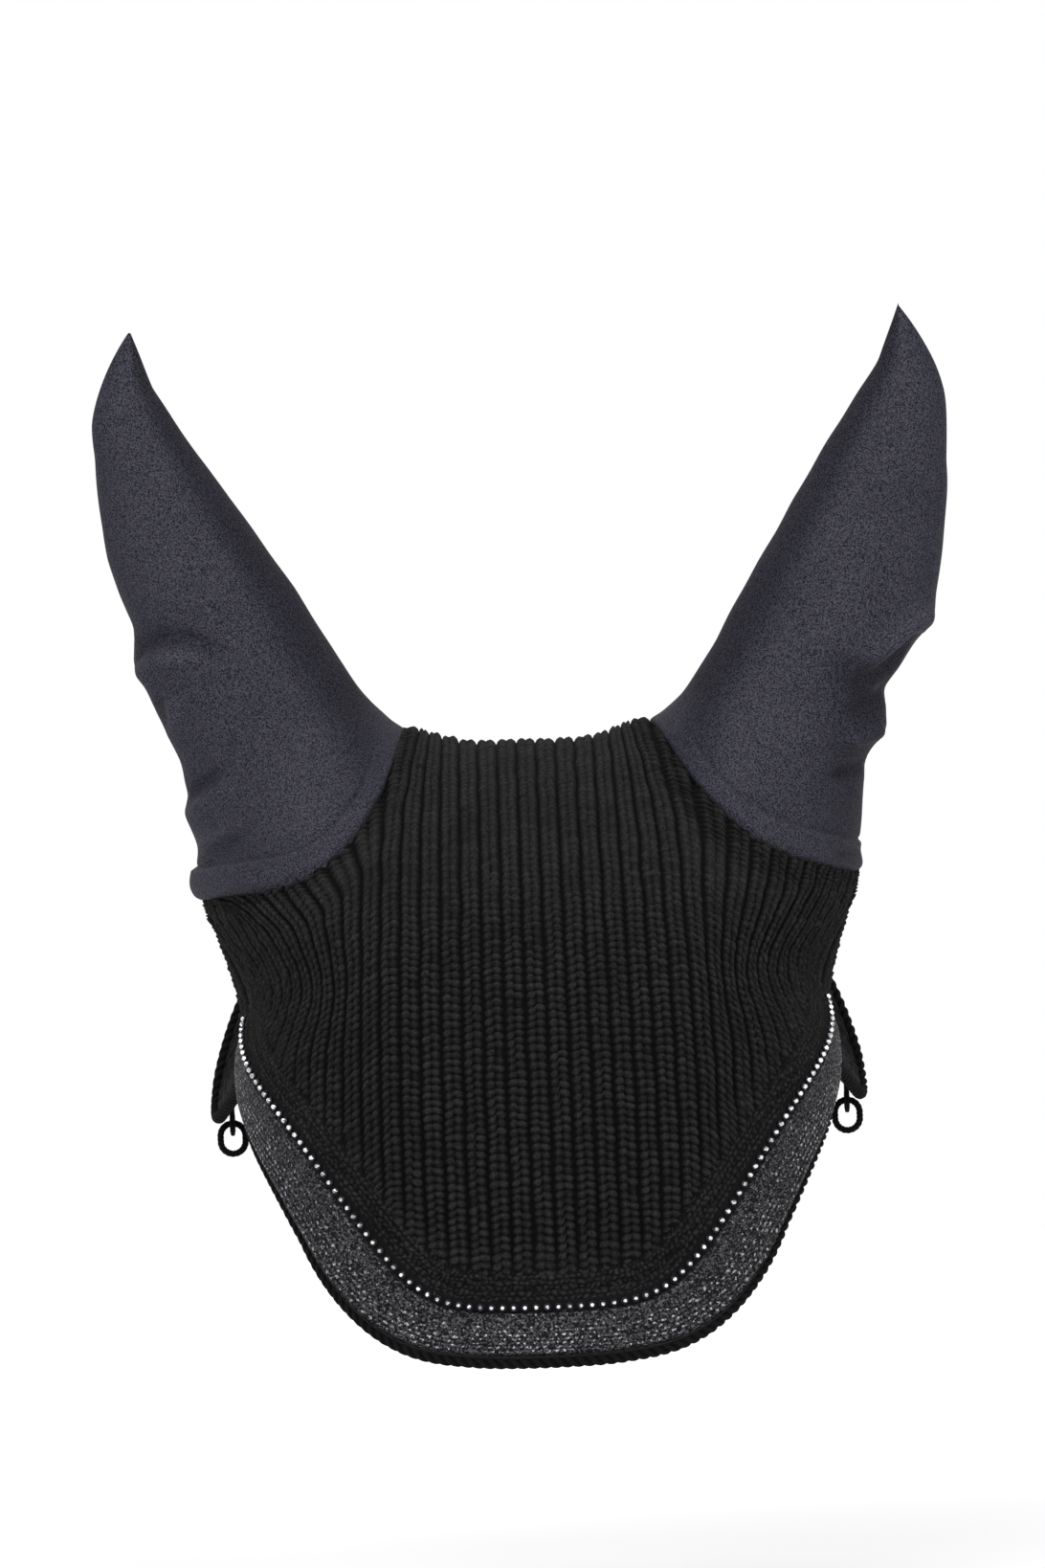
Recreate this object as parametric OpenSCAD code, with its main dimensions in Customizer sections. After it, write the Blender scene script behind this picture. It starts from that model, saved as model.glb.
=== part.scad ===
// Knitted horse ear bonnet: ribbed forehead panel, two cloth ears, cheek wings,
// a trimmed front hem with a row of set stones, and a tie loop on each wing.
// Millimetres. +Z is up, the forehead faces -Y, and the origin is the middle of
// the poll, on the inner face of the knit.

/* [Head form] */
// How far the forehead stands in front of the poll
head_depth = 150; // [140:1:160]
// Height from the poll down to where the forehead is upright
head_drop = 170; // [160:1:180]
// How far the back of the poll curve lies behind its top
poll_depth = 55; // [50:1:60]
// Height of the poll curve behind its top
poll_drop = 60; // [55:1:65]
// Angle round the poll curve at which the back edge is cut
poll_cut = 148; // [142:1:152]
// Radius across the middle of the forehead at the hem
brow_radius = 150; // [140:1:160]
// Radius across the top between the ears
poll_radius = 400; // [300:10:500]
// Half width of the flatter middle at the hem
brow_half = 45; // [42:1:48]
// Half width of the flatter middle at the top
poll_half = 48; // [45:1:51]
// Radius of the sides of the head at the hem
brow_side = 75; // [73:1:78]
// Radius of the sides of the head below the ears
poll_side = 85; // [82:1:88]
// How far the ears pull the knit up beside the poll
ear_lift = 8; // [5:0.5:9]
// How far the sides are drawn in below the ears
waist_in = 10; // [6:0.5:12]
// How far the cheeks swell above that
cheek_out = 3; // [1:0.5:4]
// Thickness of the knit
knit_t = 3.5; // [2.5:0.1:4]

/* [Hem trim] */
// Drop from the poll to the stone row at the middle
hem_low = 191; // [187:1:195]
// Half length of the straight bottom of the hem
hem_corner = 43; // [40:1:46]
// Slope of the hem beside the corners
hem_rise = 1.4; // [1.3:0.01:1.5]
// How much of that slope is lost towards the ends
hem_relax = 0.75; // [0.68:0.01:0.82]
// Half length of the trim, measured round the head
trim_half = 148; // [144:1:150]
// Plain knit border above the stone row
border_w = 14; // [12:0.5:16]
// Width of the glitter webbing below the stone row
band_w = 22; // [20:0.5:23]
// Share of the width below the stone row that is left at the bottom of the hem, where it is eased in
hem_ease = 0.66; // [0.62:0.01:0.74]
// Gap between the stone tape and the webbing
band_gap = 0.4; // [0.3:0.1:0.8]
// Thickness of the webbing
band_t = 1; // [0.6:0.1:1.4]
// Width of the stone tape
tape_w = 4.8; // [4:0.1:5.4]
// Thickness of the stone tape
tape_t = 0.6; // [0.4:0.1:0.8]
// Distance between stones along the hem
stone_pitch = 3.77; // [3.6:0.01:4.2]
// Diameter of a stone's cup
cup_d = 2.7; // [2.4:0.1:3.2]
// Height of a cup
cup_h = 0.7; // [0.6:0.1:1]
// Height of a stone above its cup
stone_h = 0.9; // [0.8:0.1:1.4]
// Diameter of the edge cord
cord_d = 4; // [3:0.1:4.2]

/* [Ears] */
// Place of the ear opening round the head, from the middle
ring_mid = 87.5; // [85:0.5:90]
// Half width of the ear opening round the head
ring_half = 44.5; // [42:0.5:46]
// Reach of the ear opening towards the front, as an angle of the head curve
ring_front = 34; // [31:1:37]
// Reach of the ear opening towards the back
ring_back = 29; // [26:1:32]
// Length of the ear above the opening
ear_len = 160; // [150:1:170]
// Lean of the ear outwards
ear_out_lean = 18; // [14:1:22]
// Lean of the ear forwards
ear_fwd_lean = 6; // [2:1:10]
// Widening of the inner edge for each millimetre from the tip
ear_inner_flare = 0.25; // [0.22:0.01:0.28]
// Reach of the outer edge from the middle line
ear_outer_reach = 38; // [34:1:40]
// Half depth of the ear, front to back
ear_deep = 33; // [29:1:36]
// Height of the swivel line above the ear's foot
ear_cut_up = 12; // [9:1:16]
// Thickness of the ear cloth
stretch_t = 1.5; // [1:0.1:1.8]

/* [Wings and ties] */
// Sideways place of the wing tip
wing_x = 116; // [113:1:119]
// Place of the wing tip behind the poll
wing_y = 8; // [4:1:12]
// Drop of the wing tip below the poll
wing_z = 126; // [122:1:130]
// How far the wing is drawn in between the ear and its edge
wing_tuck = 7; // [4:0.5:8]
// Width of the tie tab
tab_w = 9; // [8:0.5:11]
// Thickness of the tie tab
tab_t = 1.6; // [1.2:0.1:2]
// Diameter of the hole in the tab
tab_hole_d = 4.4; // [4:0.1:5]
// Diameter of the loop's cord
loop_cord_d = 2.4; // [2:0.1:2.6]
// Clear width inside the loop
loop_eye_w = 6.4; // [6:0.1:7]
// Straight length of the loop's sides
loop_side = 2; // [1:0.5:4]

/* [Hidden] */

deg = 180 / PI;
$fn = 48;
// Cloth pieces of one body lie this far apart, and the ear clears its collar by swivel_gap
lay_gap = 0.1;
swivel_gap = 0.4;
// Overlocked seams lie inside, this far below the knit, and the collar this far inside its opening
seam_d = 2;
seam_lay = 0.6;
collar_in = 0.5;
// The trim lies this far off the border, cords off the knit's edge, and cups off their tape
trim_lay = 0.4;
cord_lay = 0.35;
rim_lay = 1.1;
cup_lay = 0.35;
// The form: where the section starts to tilt, and the turn at which its sides run straight
tilt_from = 27;
wing_turn = 98;
waist_z = -80;
waist_span = 18;
cheek_z = -50;
cheek_span = 14;
waist_from = 55;
waist_full = 100;
// Reach of the lift beside the ears, round the head and along it
lift_span = 15;
lift_angle = 24;
// Roundness of the hem at its corners and where it relaxes
corner_ease = 7.5;
turn_at = 89;
turn_ease = 10;
// Where along the hem it is eased in, and over how long
ease_from = 25;
ease_span = 45;
// The row of stones is the hem's base line, and distances w are measured up from it
edge_spare = 0.3;
edge_w = tape_w / 2 + band_gap + band_w + edge_spare;
poll_w = ring_mid - ring_half;
// The ear: where it is closed below its tip, its foot, and how fast its sides spread
ear_tip_h = 1.5;
ear_tip_half = 1;
ear_foot = [87, -20, 0];
ear_outer_taper = 27;
ear_deep_taper = 60;
ear_inset_most = 0.6;
ear_row_spread = 1.4;
ear_cut_h = ear_len - ear_cut_up;
wing_tip = [wing_x, wing_y, -wing_z];
// Counts of the grids
mid_cols = 6;
side_cols = 16;
// How the columns beside the middle crowd towards the ears' inner ends
column_spread = 1.9;
panel_rows = 11;
edge_rows = 4;
cheek_rows = 5;
wing_cols = 22;
trim_steps = 60;
hem_steps = 74;
ring_steps = 32;
ear_rows = 10;
collar_rows = 5;
tube_sides = 6;

function lerp(a, b, t) = a + (b - a) * t;
function clamp01(t) = max(0, min(1, t));
function ramp(t) = let (c = clamp01(t)) c * c * (3 - 2 * c);
function unit(v) = v / norm(v);
function flip_x(v) = [-v[0], v[1], v[2]];
function curve3(a, b, c, t) = lerp(lerp(a, b, t), lerp(b, c, t), t);
function soft(t, w) = w * ln(1 + exp(t / w));
function step_up(t, w) = 1 / (1 + exp(-t / w));

// Middle line of the head form at angle a: upright below 0, the top at 90
function mid_y(a, d) =
    a < 0 ? -(head_depth - d)
    : a <= 90 ? -(head_depth - d) * cos(a)
    : -(poll_depth - d) * cos(a);
function mid_z(a, d) =
    a < 0 ? knit_t - head_drop + a * head_drop / deg
    : a <= 90 ? knit_t - head_drop + (head_drop - d) * sin(a)
    : knit_t - poll_drop + (poll_drop - d) * sin(a);
function angle_at(z) =
    let (rise = (z - knit_t + head_drop) / head_drop)
    rise < 0 ? rise * deg : asin(min(1, rise));

// Section across the head at angle a: a flatter middle, round sides, then straight
function mid_r(a) = lerp(brow_radius, poll_radius, clamp01(a / 90));
function mid_half(a) = lerp(brow_half, poll_half, clamp01(a / 90));
function side_r(a) = lerp(brow_side, poll_side, clamp01(a / 90));
function mid_turn(a) = mid_half(a) / mid_r(a) * deg;
function across(s, a, d) =
    let (
        m = mid_turn(a),
        full = m + (s - mid_half(a)) / side_r(a) * deg,
        t = min(wing_turn, full),
        over = max(0, full - wing_turn) / deg * side_r(a),
        r = mid_r(a) - d,
        q = side_r(a) - d
    )
    s <= mid_half(a)
        ? [r * sin(s / mid_r(a) * deg), r * (1 - cos(s / mid_r(a) * deg))]
        : [r * sin(m) + q * (sin(t) - sin(m)) + over * cos(wing_turn),
           r * (1 - cos(m)) + q * (cos(m) - cos(t)) + over * sin(wing_turn)];

// A point of the form, s round the head, a up the head, d below the knit's outer face
function form(s, a, d) =
    let (
        c = across(abs(s), a, d),
        k = 90 * clamp01((a - tilt_from) / (90 - tilt_from)),
        near_s = (abs(s) - poll_w) / lift_span,
        near_a = (a - 90) / lift_angle,
        lift = ear_lift * exp(-near_s * near_s - near_a * near_a),
        z = mid_z(a, d) - c[1] * sin(k) + lift,
        low = (z - waist_z) / waist_span,
        high = (z - cheek_z) / cheek_span,
        out = cheek_out * exp(-high * high) - waist_in * exp(-low * low),
        x = c[0] + out * ramp((c[0] - waist_from) / (waist_full - waist_from))
    )
    [s < 0 ? -x : x, mid_y(a, d) + c[1] * cos(k), z];

// The hem: height of the stone row at s, and the place w above it
function hem_z(s) =
    -hem_low + hem_rise * soft(s - hem_corner, corner_ease) - hem_relax * soft(s - turn_at, turn_ease);
function hem_slope(s) =
    hem_rise * step_up(s - hem_corner, corner_ease) - hem_relax * step_up(s - turn_at, turn_ease);
function trim_share(s) = lerp(hem_ease, 1, ramp((abs(s) - ease_from) / ease_span));
function hem_place(s, w) =
    let (
        m = hem_slope(abs(s)),
        l = sqrt(1 + m * m),
        v = w > 0 ? w : max(w, -edge_w) * trim_share(s) + min(0, w + edge_w)
    )
    [sign(s) * (abs(s) - v * m / l), angle_at(hem_z(abs(s)) + v / l)];
function hem_point(s, w, d) = let (p = hem_place(s, w)) form(p[0], p[1], d);
function hem_out(s) = unit(hem_point(s, 0, -1) - hem_point(s, 0, 0));

// The ear opening, t from 0 at its outer end through 90 at the back, drawn in by inset
function ring_place(t, inset) =
    [ring_mid + (ring_half - inset) * cos(t),
     90 + (sin(t) < 0 ? ring_front - inset / 2 : ring_back - inset) * sin(t)];
function ring_point(t, d, inset = 0) = let (p = ring_place(t, inset)) form(p[0], p[1], d);

// The forehead panel runs from the border up to the ear openings and the poll. Column k is
// 0 at the middle, 1 at the inner end of an ear opening and 2 at its outer end
function column_s(k) = k <= 1 ? poll_w * k : lerp(poll_w, trim_half, pow(k - 1, column_spread));
function column_top(k) = k <= 1 ? [poll_w * k, 90] : ring_place(180 + 180 * (k - 1), 0);
function panel_place(k, v) =
    let (p = lerp(hem_place(column_s(abs(k)), border_w), column_top(abs(k)), v)) [k < 0 ? -p[0] : p[0], p[1]];
function panel_point(k, v, d) = let (p = panel_place(k, v)) form(p[0], p[1], d);
side_steps = [each [1:1:side_cols - 3], each [side_cols - 2.5:0.5:side_cols]];
panel_cols = [
    for (i = [len(side_steps) - 1:-1:0]) -1 - side_steps[i] / side_cols,
    for (i = [-mid_cols:1:mid_cols]) i / mid_cols,
    for (i = side_steps) 1 + i / side_cols
];

// The outer edge of a cheek, q from 0 to 1: down the end of the trim, along the wing, round
// its tip, and up to the poll
q_trim = 0.16;
q_tip = 0.42;
q_back = 0.58;
tip_start = 0.75;
tip_finish = 0.2;
trim_end = hem_point(trim_half, -edge_w, 0);
poll_end = form(poll_w, poll_cut, 0);
back_in = 18;
back_drop = 50;
back_pull = [wing_x - back_in, poll_depth - 3, -back_drop];
tip_from = lerp(trim_end, wing_tip, tip_start);
tip_to = lerp(wing_tip, back_pull, tip_finish);
trim_in = unit(hem_point(trim_half, -edge_w, 1) - trim_end);
poll_in = unit(form(poll_w, poll_cut, 1) - poll_end);
function rim_in(q) = unit(lerp(trim_in, poll_in, ramp((q - q_trim) / (1 - q_trim))));
function rim_line(q) =
    q < q_tip ? lerp(trim_end, tip_from, (q - q_trim) / (q_tip - q_trim))
    : q < q_back ? curve3(tip_from, wing_tip, tip_to, (q - q_tip) / (q_back - q_tip))
    : curve3(tip_to, back_pull, poll_end, (q - q_back) / (1 - q_back));
function rim_point(q, d) =
    q <= q_trim ? hem_point(trim_half, lerp(border_w, -edge_w, q / q_trim), d)
    : q >= 1 ? form(poll_w, poll_cut, d)
    : rim_line(q) + d * rim_in(q);
wing_end = rim_line((q_tip + q_back) / 2);

// A cheek lies between the ear opening and that edge, and meets the panels at both ends
meet_share = 0.3;
function cheek_plain(q, v, d) = lerp(ring_point(180 * q, d), rim_point(q, d), v);
function cheek_point(q, v, d) =
    let (
        near = ramp(1 - q / meet_share),
        far = ramp(1 - (1 - q) / meet_share),
        side = panel_point(2, 1 - v, d) - cheek_plain(0, v, d),
        back = form(poll_w, lerp(90, poll_cut, v), d) - cheek_plain(1, v, d),
        tuck = wing_tuck * sin(180 * v) * (1 - near) * (1 - far)
    )
    cheek_plain(q, v, d) + near * side + far * back - [tuck, 0, 0];
cheek_cols = [
    for (i = [0:1:edge_rows]) q_trim * i / edge_rows,
    for (i = [1:1:wing_cols]) lerp(q_trim, 1, i / wing_cols)
];

// The ear: sections square to its leaning axis, h measured down from the tip
ear_side = [cos(ear_out_lean), 0, -sin(ear_out_lean)];
ear_up = [sin(ear_out_lean) * cos(ear_fwd_lean), -sin(ear_fwd_lean), cos(ear_out_lean) * cos(ear_fwd_lean)];
ear_rear = [sin(ear_out_lean) * sin(ear_fwd_lean), cos(ear_fwd_lean), cos(ear_out_lean) * sin(ear_fwd_lean)];
function ear_inner(h) = ear_tip_half + ear_inner_flare * h;
function ear_outer(h) = ear_outer_reach * (1 - exp(-h / ear_outer_taper));
function ear_point(t, h, inset) =
    let (
        half = (ear_outer(h) + ear_inner(h)) / 2,
        deep = ear_deep * (1 - exp(-h / ear_deep_taper)),
        mid = (ear_outer(h) - ear_inner(h)) / 2
    )
    ear_foot + ear_up * (ear_len - h)
        + ear_side * (mid + (half - min(inset, ear_inset_most * half)) * cos(t))
        + ear_rear * (deep - min(inset, ear_inset_most * deep)) * sin(t);
function ear_h(k) = ear_tip_h + (ear_cut_h - swivel_gap / 2 - ear_tip_h) * pow(k, ear_row_spread);

// Closed cloth between two grids of the same size, rows of points
module cloth(outer, inner, flip = false) {
    m = len(outer);
    n = len(outer[0]);
    points = [for (r = outer) each r, for (r = inner) each r];
    function o(j, i) = j * n + i;
    function u(j, i) = m * n + j * n + i;
    faces = [
        for (j = [0:1:m - 2], i = [0:1:n - 2]) each [
            [o(j, i), o(j + 1, i + 1), o(j, i + 1)], [o(j, i), o(j + 1, i), o(j + 1, i + 1)],
            [u(j, i), u(j, i + 1), u(j + 1, i + 1)], [u(j, i), u(j + 1, i + 1), u(j + 1, i)]],
        for (i = [0:1:n - 2]) each [
            [o(0, i), o(0, i + 1), u(0, i + 1)], [o(0, i), u(0, i + 1), u(0, i)],
            [o(m - 1, i), u(m - 1, i + 1), o(m - 1, i + 1)], [o(m - 1, i), u(m - 1, i), u(m - 1, i + 1)]],
        for (j = [0:1:m - 2]) each [
            [o(j, 0), u(j + 1, 0), o(j + 1, 0)], [o(j, 0), u(j, 0), u(j + 1, 0)],
            [o(j, n - 1), o(j + 1, n - 1), u(j + 1, n - 1)], [o(j, n - 1), u(j + 1, n - 1), u(j, n - 1)]]
    ];
    polyhedron(points, [for (f = faces) flip ? [f[0], f[2], f[1]] : f]);
}

// Closed sleeve between two stacks of rings
module sleeve(outer, inner) {
    m = len(outer);
    n = len(outer[0]);
    points = [for (r = outer) each r, for (r = inner) each r];
    function o(j, i) = j * n + i % n;
    function u(j, i) = m * n + j * n + i % n;
    faces = [
        for (j = [0:1:m - 2], i = [0:1:n - 1]) each [
            [o(j, i), o(j + 1, i + 1), o(j, i + 1)], [o(j, i), o(j + 1, i), o(j + 1, i + 1)],
            [u(j, i), u(j, i + 1), u(j + 1, i + 1)], [u(j, i), u(j + 1, i + 1), u(j + 1, i)]],
        for (i = [0:1:n - 1]) each [
            [o(0, i), o(0, i + 1), u(0, i + 1)], [o(0, i), u(0, i + 1), u(0, i)],
            [o(m - 1, i), u(m - 1, i + 1), o(m - 1, i + 1)], [o(m - 1, i), u(m - 1, i), u(m - 1, i + 1)]]
    ];
    polyhedron(points, faces);
}

// Round cord along frames of [centre, sideways, outwards], open or joined end to end
module cord(frames, d, joined = false) {
    m = len(frames);
    n = tube_sides;
    points = [for (f = frames, i = [0:1:n - 1])
        f[0] + d / 2 * (cos(360 * i / n) * f[1] + sin(360 * i / n) * f[2])];
    function o(j, i) = (j % m) * n + i % n;
    faces = [
        for (j = [0:1:joined ? m - 1 : m - 2], i = [0:1:n - 1]) each [
            [o(j, i), o(j + 1, i + 1), o(j, i + 1)], [o(j, i), o(j + 1, i), o(j + 1, i + 1)]],
        if (!joined) [for (i = [0:1:n - 1]) i],
        if (!joined) [for (i = [n - 1:-1:0]) (m - 1) * n + i]
    ];
    polyhedron(points, faces);
}

module on_left() {
    mirror([1, 0, 0]) children();
}

// A flat strip of the hem between two distances from the stone row
module hem_strip(low, high, rows, top, under) {
    outer = [for (j = [0:1:rows]) [for (i = [0:1:trim_steps])
        hem_point(lerp(-trim_half, trim_half, i / trim_steps), lerp(low, high, j / rows), top)]];
    inner = [for (j = [0:1:rows]) [for (i = [0:1:trim_steps])
        hem_point(lerp(-trim_half, trim_half, i / trim_steps), lerp(low, high, j / rows), under)]];
    cloth(outer, inner);
}

module forehead_panel() {
    color("#1f1f20")
        cloth([for (j = [0:1:panel_rows]) [for (k = panel_cols) panel_point(k, j / panel_rows, 0)]],
            [for (j = [0:1:panel_rows]) [for (k = panel_cols) panel_point(k, j / panel_rows, knit_t)]]);
}

module cheek_panel() {
    color("#1b1b1c")
        cloth([for (j = [0:1:cheek_rows]) [for (q = cheek_cols) cheek_point(q, j / cheek_rows, 0)]],
            [for (j = [0:1:cheek_rows]) [for (q = cheek_cols) cheek_point(q, j / cheek_rows, knit_t)]], true);
}

module left_cheek_panel() {
    on_left() cheek_panel();
}

module right_cheek_panel() {
    cheek_panel();
}

module poll_panel() {
    function place(i, j, d) = form(poll_w * i / mid_cols, lerp(90, poll_cut, j / cheek_rows), d);
    color("#1f1f20")
        cloth([for (j = [0:1:cheek_rows]) [for (i = [-mid_cols:1:mid_cols]) place(i, j, 0)]],
            [for (j = [0:1:cheek_rows]) [for (i = [-mid_cols:1:mid_cols]) place(i, j, knit_t)]]);
}

module hem_border() {
    color("#19191a") hem_strip(-edge_w, border_w - 2 * edge_spare, edge_rows, 0, knit_t);
}

module glitter_band() {
    high = -tape_w / 2 - band_gap;
    color("#3c3d42") hem_strip(high - band_w, high, 2, -trim_lay - band_t, -trim_lay);
}

module crystal_tape() {
    color("#151516") hem_strip(-tape_w / 2, tape_w / 2, 1, -trim_lay - tape_t, -trim_lay);
}

// One child on each place of the stone row, its +Z square to the hem
module along_stones(lift) {
    count = floor((trim_half - cup_d) / stone_pitch / hem_stretch);
    for (i = [-count:1:count]) {
        s = stone_s(i * stone_pitch);
        n = hem_out(s);
        translate(hem_point(s, 0, 0) + n * lift)
            rotate([0, acos(n[2]), atan2(n[1], n[0])]) children();
    }
}

// Distance along the sloping hem, step by step, and the place at a given distance
function hem_stop(i) = hem_point(trim_half * i / hem_steps, 0, 0);
hem_runs = [for (i = 0, run = 0; i <= hem_steps;
    run = run + norm(hem_stop(i + 1) - hem_stop(i)), i = i + 1) run];
hem_stretch = trim_half / hem_runs[hem_steps];
function stone_s(run) =
    sign(run) * lookup(abs(run), [for (i = [0:1:hem_steps]) [hem_runs[i], trim_half * i / hem_steps]]);

cup_lift = trim_lay + tape_t + cup_lay;

module crystal_cups() {
    color("#b9bcc2") along_stones(cup_lift) cylinder(h = cup_h, d = cup_d);
}

module crystals() {
    color("#e9edf3") along_stones(cup_lift + cup_h + lay_gap)
        cylinder(h = stone_h, d1 = cup_d - 3 * lay_gap, d2 = cup_d / 2);
}

module hem_cord() {
    frames = [for (i = [0:1:trim_steps])
        let (s = lerp(-trim_half, trim_half, i / trim_steps),
            c = hem_point(s, -edge_w - cord_d / 2 - cord_lay, knit_t / 2),
            down = unit(c - hem_point(s, -edge_w + cord_d, knit_t / 2)),
            out = hem_out(s))
        [c, out, down]];
    color("#101011") cord(frames, cord_d);
}

// The cord along the cheek's edge, and the steps over which its direction is taken
q_step = 0.01;
rim_back = 0.8;
function rim_frame(q) =
    let (
        along = unit(rim_point(min(1, q + q_step), 0) - rim_point(max(q_trim, q - q_step), 0)),
        reach = rim_point(q, 0) - cheek_point(q, rim_back, 0),
        side = unit(reach - along * (reach * along))
    )
    [rim_point(q, knit_t / 2) + side * (cord_d / 2 + rim_lay), side, cross(along, side)];
function poll_frame(i) =
    let (
        s = poll_w * i / mid_cols,
        side = unit(form(s, poll_cut + 1, 0) - form(s, poll_cut - 1, 0)),
        out = unit(form(s, poll_cut, -1) - form(s, poll_cut, 0))
    )
    [form(s, poll_cut, knit_t / 2) + side * (cord_d / 2 + rim_lay), side, out];

module back_cord() {
    right = [for (i = [1:1:wing_cols - 1]) rim_frame(lerp(q_trim, 1, i / wing_cols))];
    middle = [for (i = [mid_cols - 1:-1:1 - mid_cols]) poll_frame(i)];
    left = [for (i = [len(right) - 1:-1:0]) let (f = right[i]) [flip_x(f[0]), flip_x(f[1]), flip_x(f[2])]];
    color("#101011") cord(concat(right, middle, left), cord_d);
}

module ear_collar() {
    top_h = ear_cut_h + swivel_gap / 2;
    function row(inset, d) = [for (i = [0:1:ring_steps - 1]) ring_point(360 * i / ring_steps, d, inset)];
    function rise(inset, k) = [for (i = [0:1:ring_steps - 1])
        let (t = 360 * i / ring_steps)
        lerp(ring_point(t, 0, collar_in + inset), ear_point(t, top_h, inset), k)];
    color("#383a45")
        sleeve(concat([row(collar_in, knit_t)], [for (j = [0:1:collar_rows]) rise(0, j / collar_rows)]),
            concat([row(collar_in + stretch_t, knit_t)],
                [for (j = [0:1:collar_rows]) rise(stretch_t, j / collar_rows)]));
}

module left_ear_collar() {
    on_left() ear_collar();
}

module right_ear_collar() {
    ear_collar();
}

// Half of an ear, from angle t0 round to t0 + 180
module ear_half(t0) {
    half_steps = ring_steps / 2;
    function row(k, inset) = [for (i = [0:1:half_steps])
        ear_point(t0 + 180 * i / half_steps, ear_h(k), inset)];
    color("#3c3e49")
        cloth([for (j = [0:1:ear_rows]) row(j / ear_rows, 0)],
            [for (j = [0:1:ear_rows]) row(j / ear_rows, stretch_t)], true);
}

module left_ear_front() {
    on_left() ear_half(180);
}

module right_ear_front() {
    ear_half(180);
}

module left_ear_back() {
    on_left() ear_half(0);
}

module right_ear_back() {
    ear_half(0);
}

// Overlocked seam inside the ear opening
module ear_seam() {
    depth = knit_t + seam_d / 2 + seam_lay;
    frames = [for (i = [0:1:ring_steps - 1])
        let (t = 360 * i / ring_steps, c = ring_point(t, depth, seam_d),
            out = unit(ring_point(t, 0, seam_d) - c),
            reach = ring_point(t, depth) - c,
            side = unit(reach - out * (reach * out)))
        [c, out, side]];
    color("#26272d") cord(frames, seam_d, true);
}

module left_ear_seam() {
    on_left() ear_seam();
}

module right_ear_seam() {
    ear_seam();
}

// Overlocked seam inside, where the forehead meets the cheek
module side_seam() {
    depth = knit_t + seam_d / 2 + seam_lay;
    v_step = 0.02;
    frames = [for (j = [1:1:panel_rows - 1])
        let (v = j / panel_rows, c = panel_point(2, v, depth),
            out = unit(panel_point(2, v, 0) - c),
            along = unit(panel_point(2, v + v_step, depth) - panel_point(2, v - v_step, depth)))
        [c, out, cross(along, out)]];
    color("#151516") cord(frames, seam_d);
}

module left_side_seam() {
    on_left() side_seam();
}

module right_side_seam() {
    side_seam();
}

// Tie tab on the inside of the wing's tip, and the loop that hangs in its hole
tab_lay = 0.8;
tab_drop = 3.5;
tab_rise = 0;
tab_x = wing_end[0] - knit_t - tab_lay - tab_t;
tab_hole_z = wing_end[2] - cord_d - tab_drop;
tab_top_z = wing_end[2] + tab_rise;

module tie_tab() {
    color("#141415")
        translate([tab_x, wing_end[1], 0]) rotate([90, 0, 90])
            linear_extrude(height = tab_t)
                difference() {
                    union() {
                        translate([-tab_w / 2, tab_hole_z]) square([tab_w, tab_top_z - tab_hole_z]);
                        translate([0, tab_hole_z]) circle(d = tab_w);
                    }
                    translate([0, tab_hole_z]) circle(d = tab_hole_d);
                }
}

module left_tie_tab() {
    on_left() tie_tab();
}

module right_tie_tab() {
    tie_tab();
}

module tie_loop() {
    r = (loop_eye_w + loop_cord_d) / 2;
    color("#0f0f10")
        translate([tab_x + tab_t / 2, wing_end[1], tab_hole_z - r]) rotate([90, 0, 0]) {
            rotate_extrude(angle = 180) translate([r, 0]) circle(d = loop_cord_d);
            for (side = [-1, 1])
                translate([side * r, 0, 0]) rotate([90, 0, 0]) cylinder(h = loop_side, d = loop_cord_d);
            translate([0, -loop_side, 0]) rotate([0, 0, 180])
                rotate_extrude(angle = 180) translate([r, 0]) circle(d = loop_cord_d);
        }
}

module left_tie_loop() {
    on_left() tie_loop();
}

module right_tie_loop() {
    tie_loop();
}

forehead_panel();
left_cheek_panel();
right_cheek_panel();
poll_panel();
hem_border();
glitter_band();
crystal_tape();
crystal_cups();
crystals();
hem_cord();
back_cord();
left_ear_collar();
right_ear_collar();
left_ear_front();
right_ear_front();
left_ear_back();
right_ear_back();
left_ear_seam();
right_ear_seam();
left_side_seam();
right_side_seam();
left_tie_tab();
right_tie_tab();
left_tie_loop();
right_tie_loop();
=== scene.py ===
"""Looks of a knitted horse ear bonnet, laid out as an add-on and run as a script."""

import bpy
import numpy as np
from mathutils import Matrix, Vector


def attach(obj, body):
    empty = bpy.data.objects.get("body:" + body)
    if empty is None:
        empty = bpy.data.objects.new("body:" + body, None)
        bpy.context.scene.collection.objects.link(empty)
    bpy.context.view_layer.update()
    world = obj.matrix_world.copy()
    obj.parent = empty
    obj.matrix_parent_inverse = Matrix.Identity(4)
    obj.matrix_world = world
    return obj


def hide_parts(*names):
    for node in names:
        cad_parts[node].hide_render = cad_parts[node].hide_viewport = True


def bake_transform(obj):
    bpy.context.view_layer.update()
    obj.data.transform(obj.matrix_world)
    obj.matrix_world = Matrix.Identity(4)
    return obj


bl_info = {
    "name": "Knitted Ear Bonnet",
    "version": (1, 0, 0),
    "blender": (4, 5, 0),
    "location": "View3D > Sidebar > Bonnet",
    "description": "Builds the knit, trim, cloth ears and stage of a horse's ear bonnet",
    "category": "Object",
}

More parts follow.
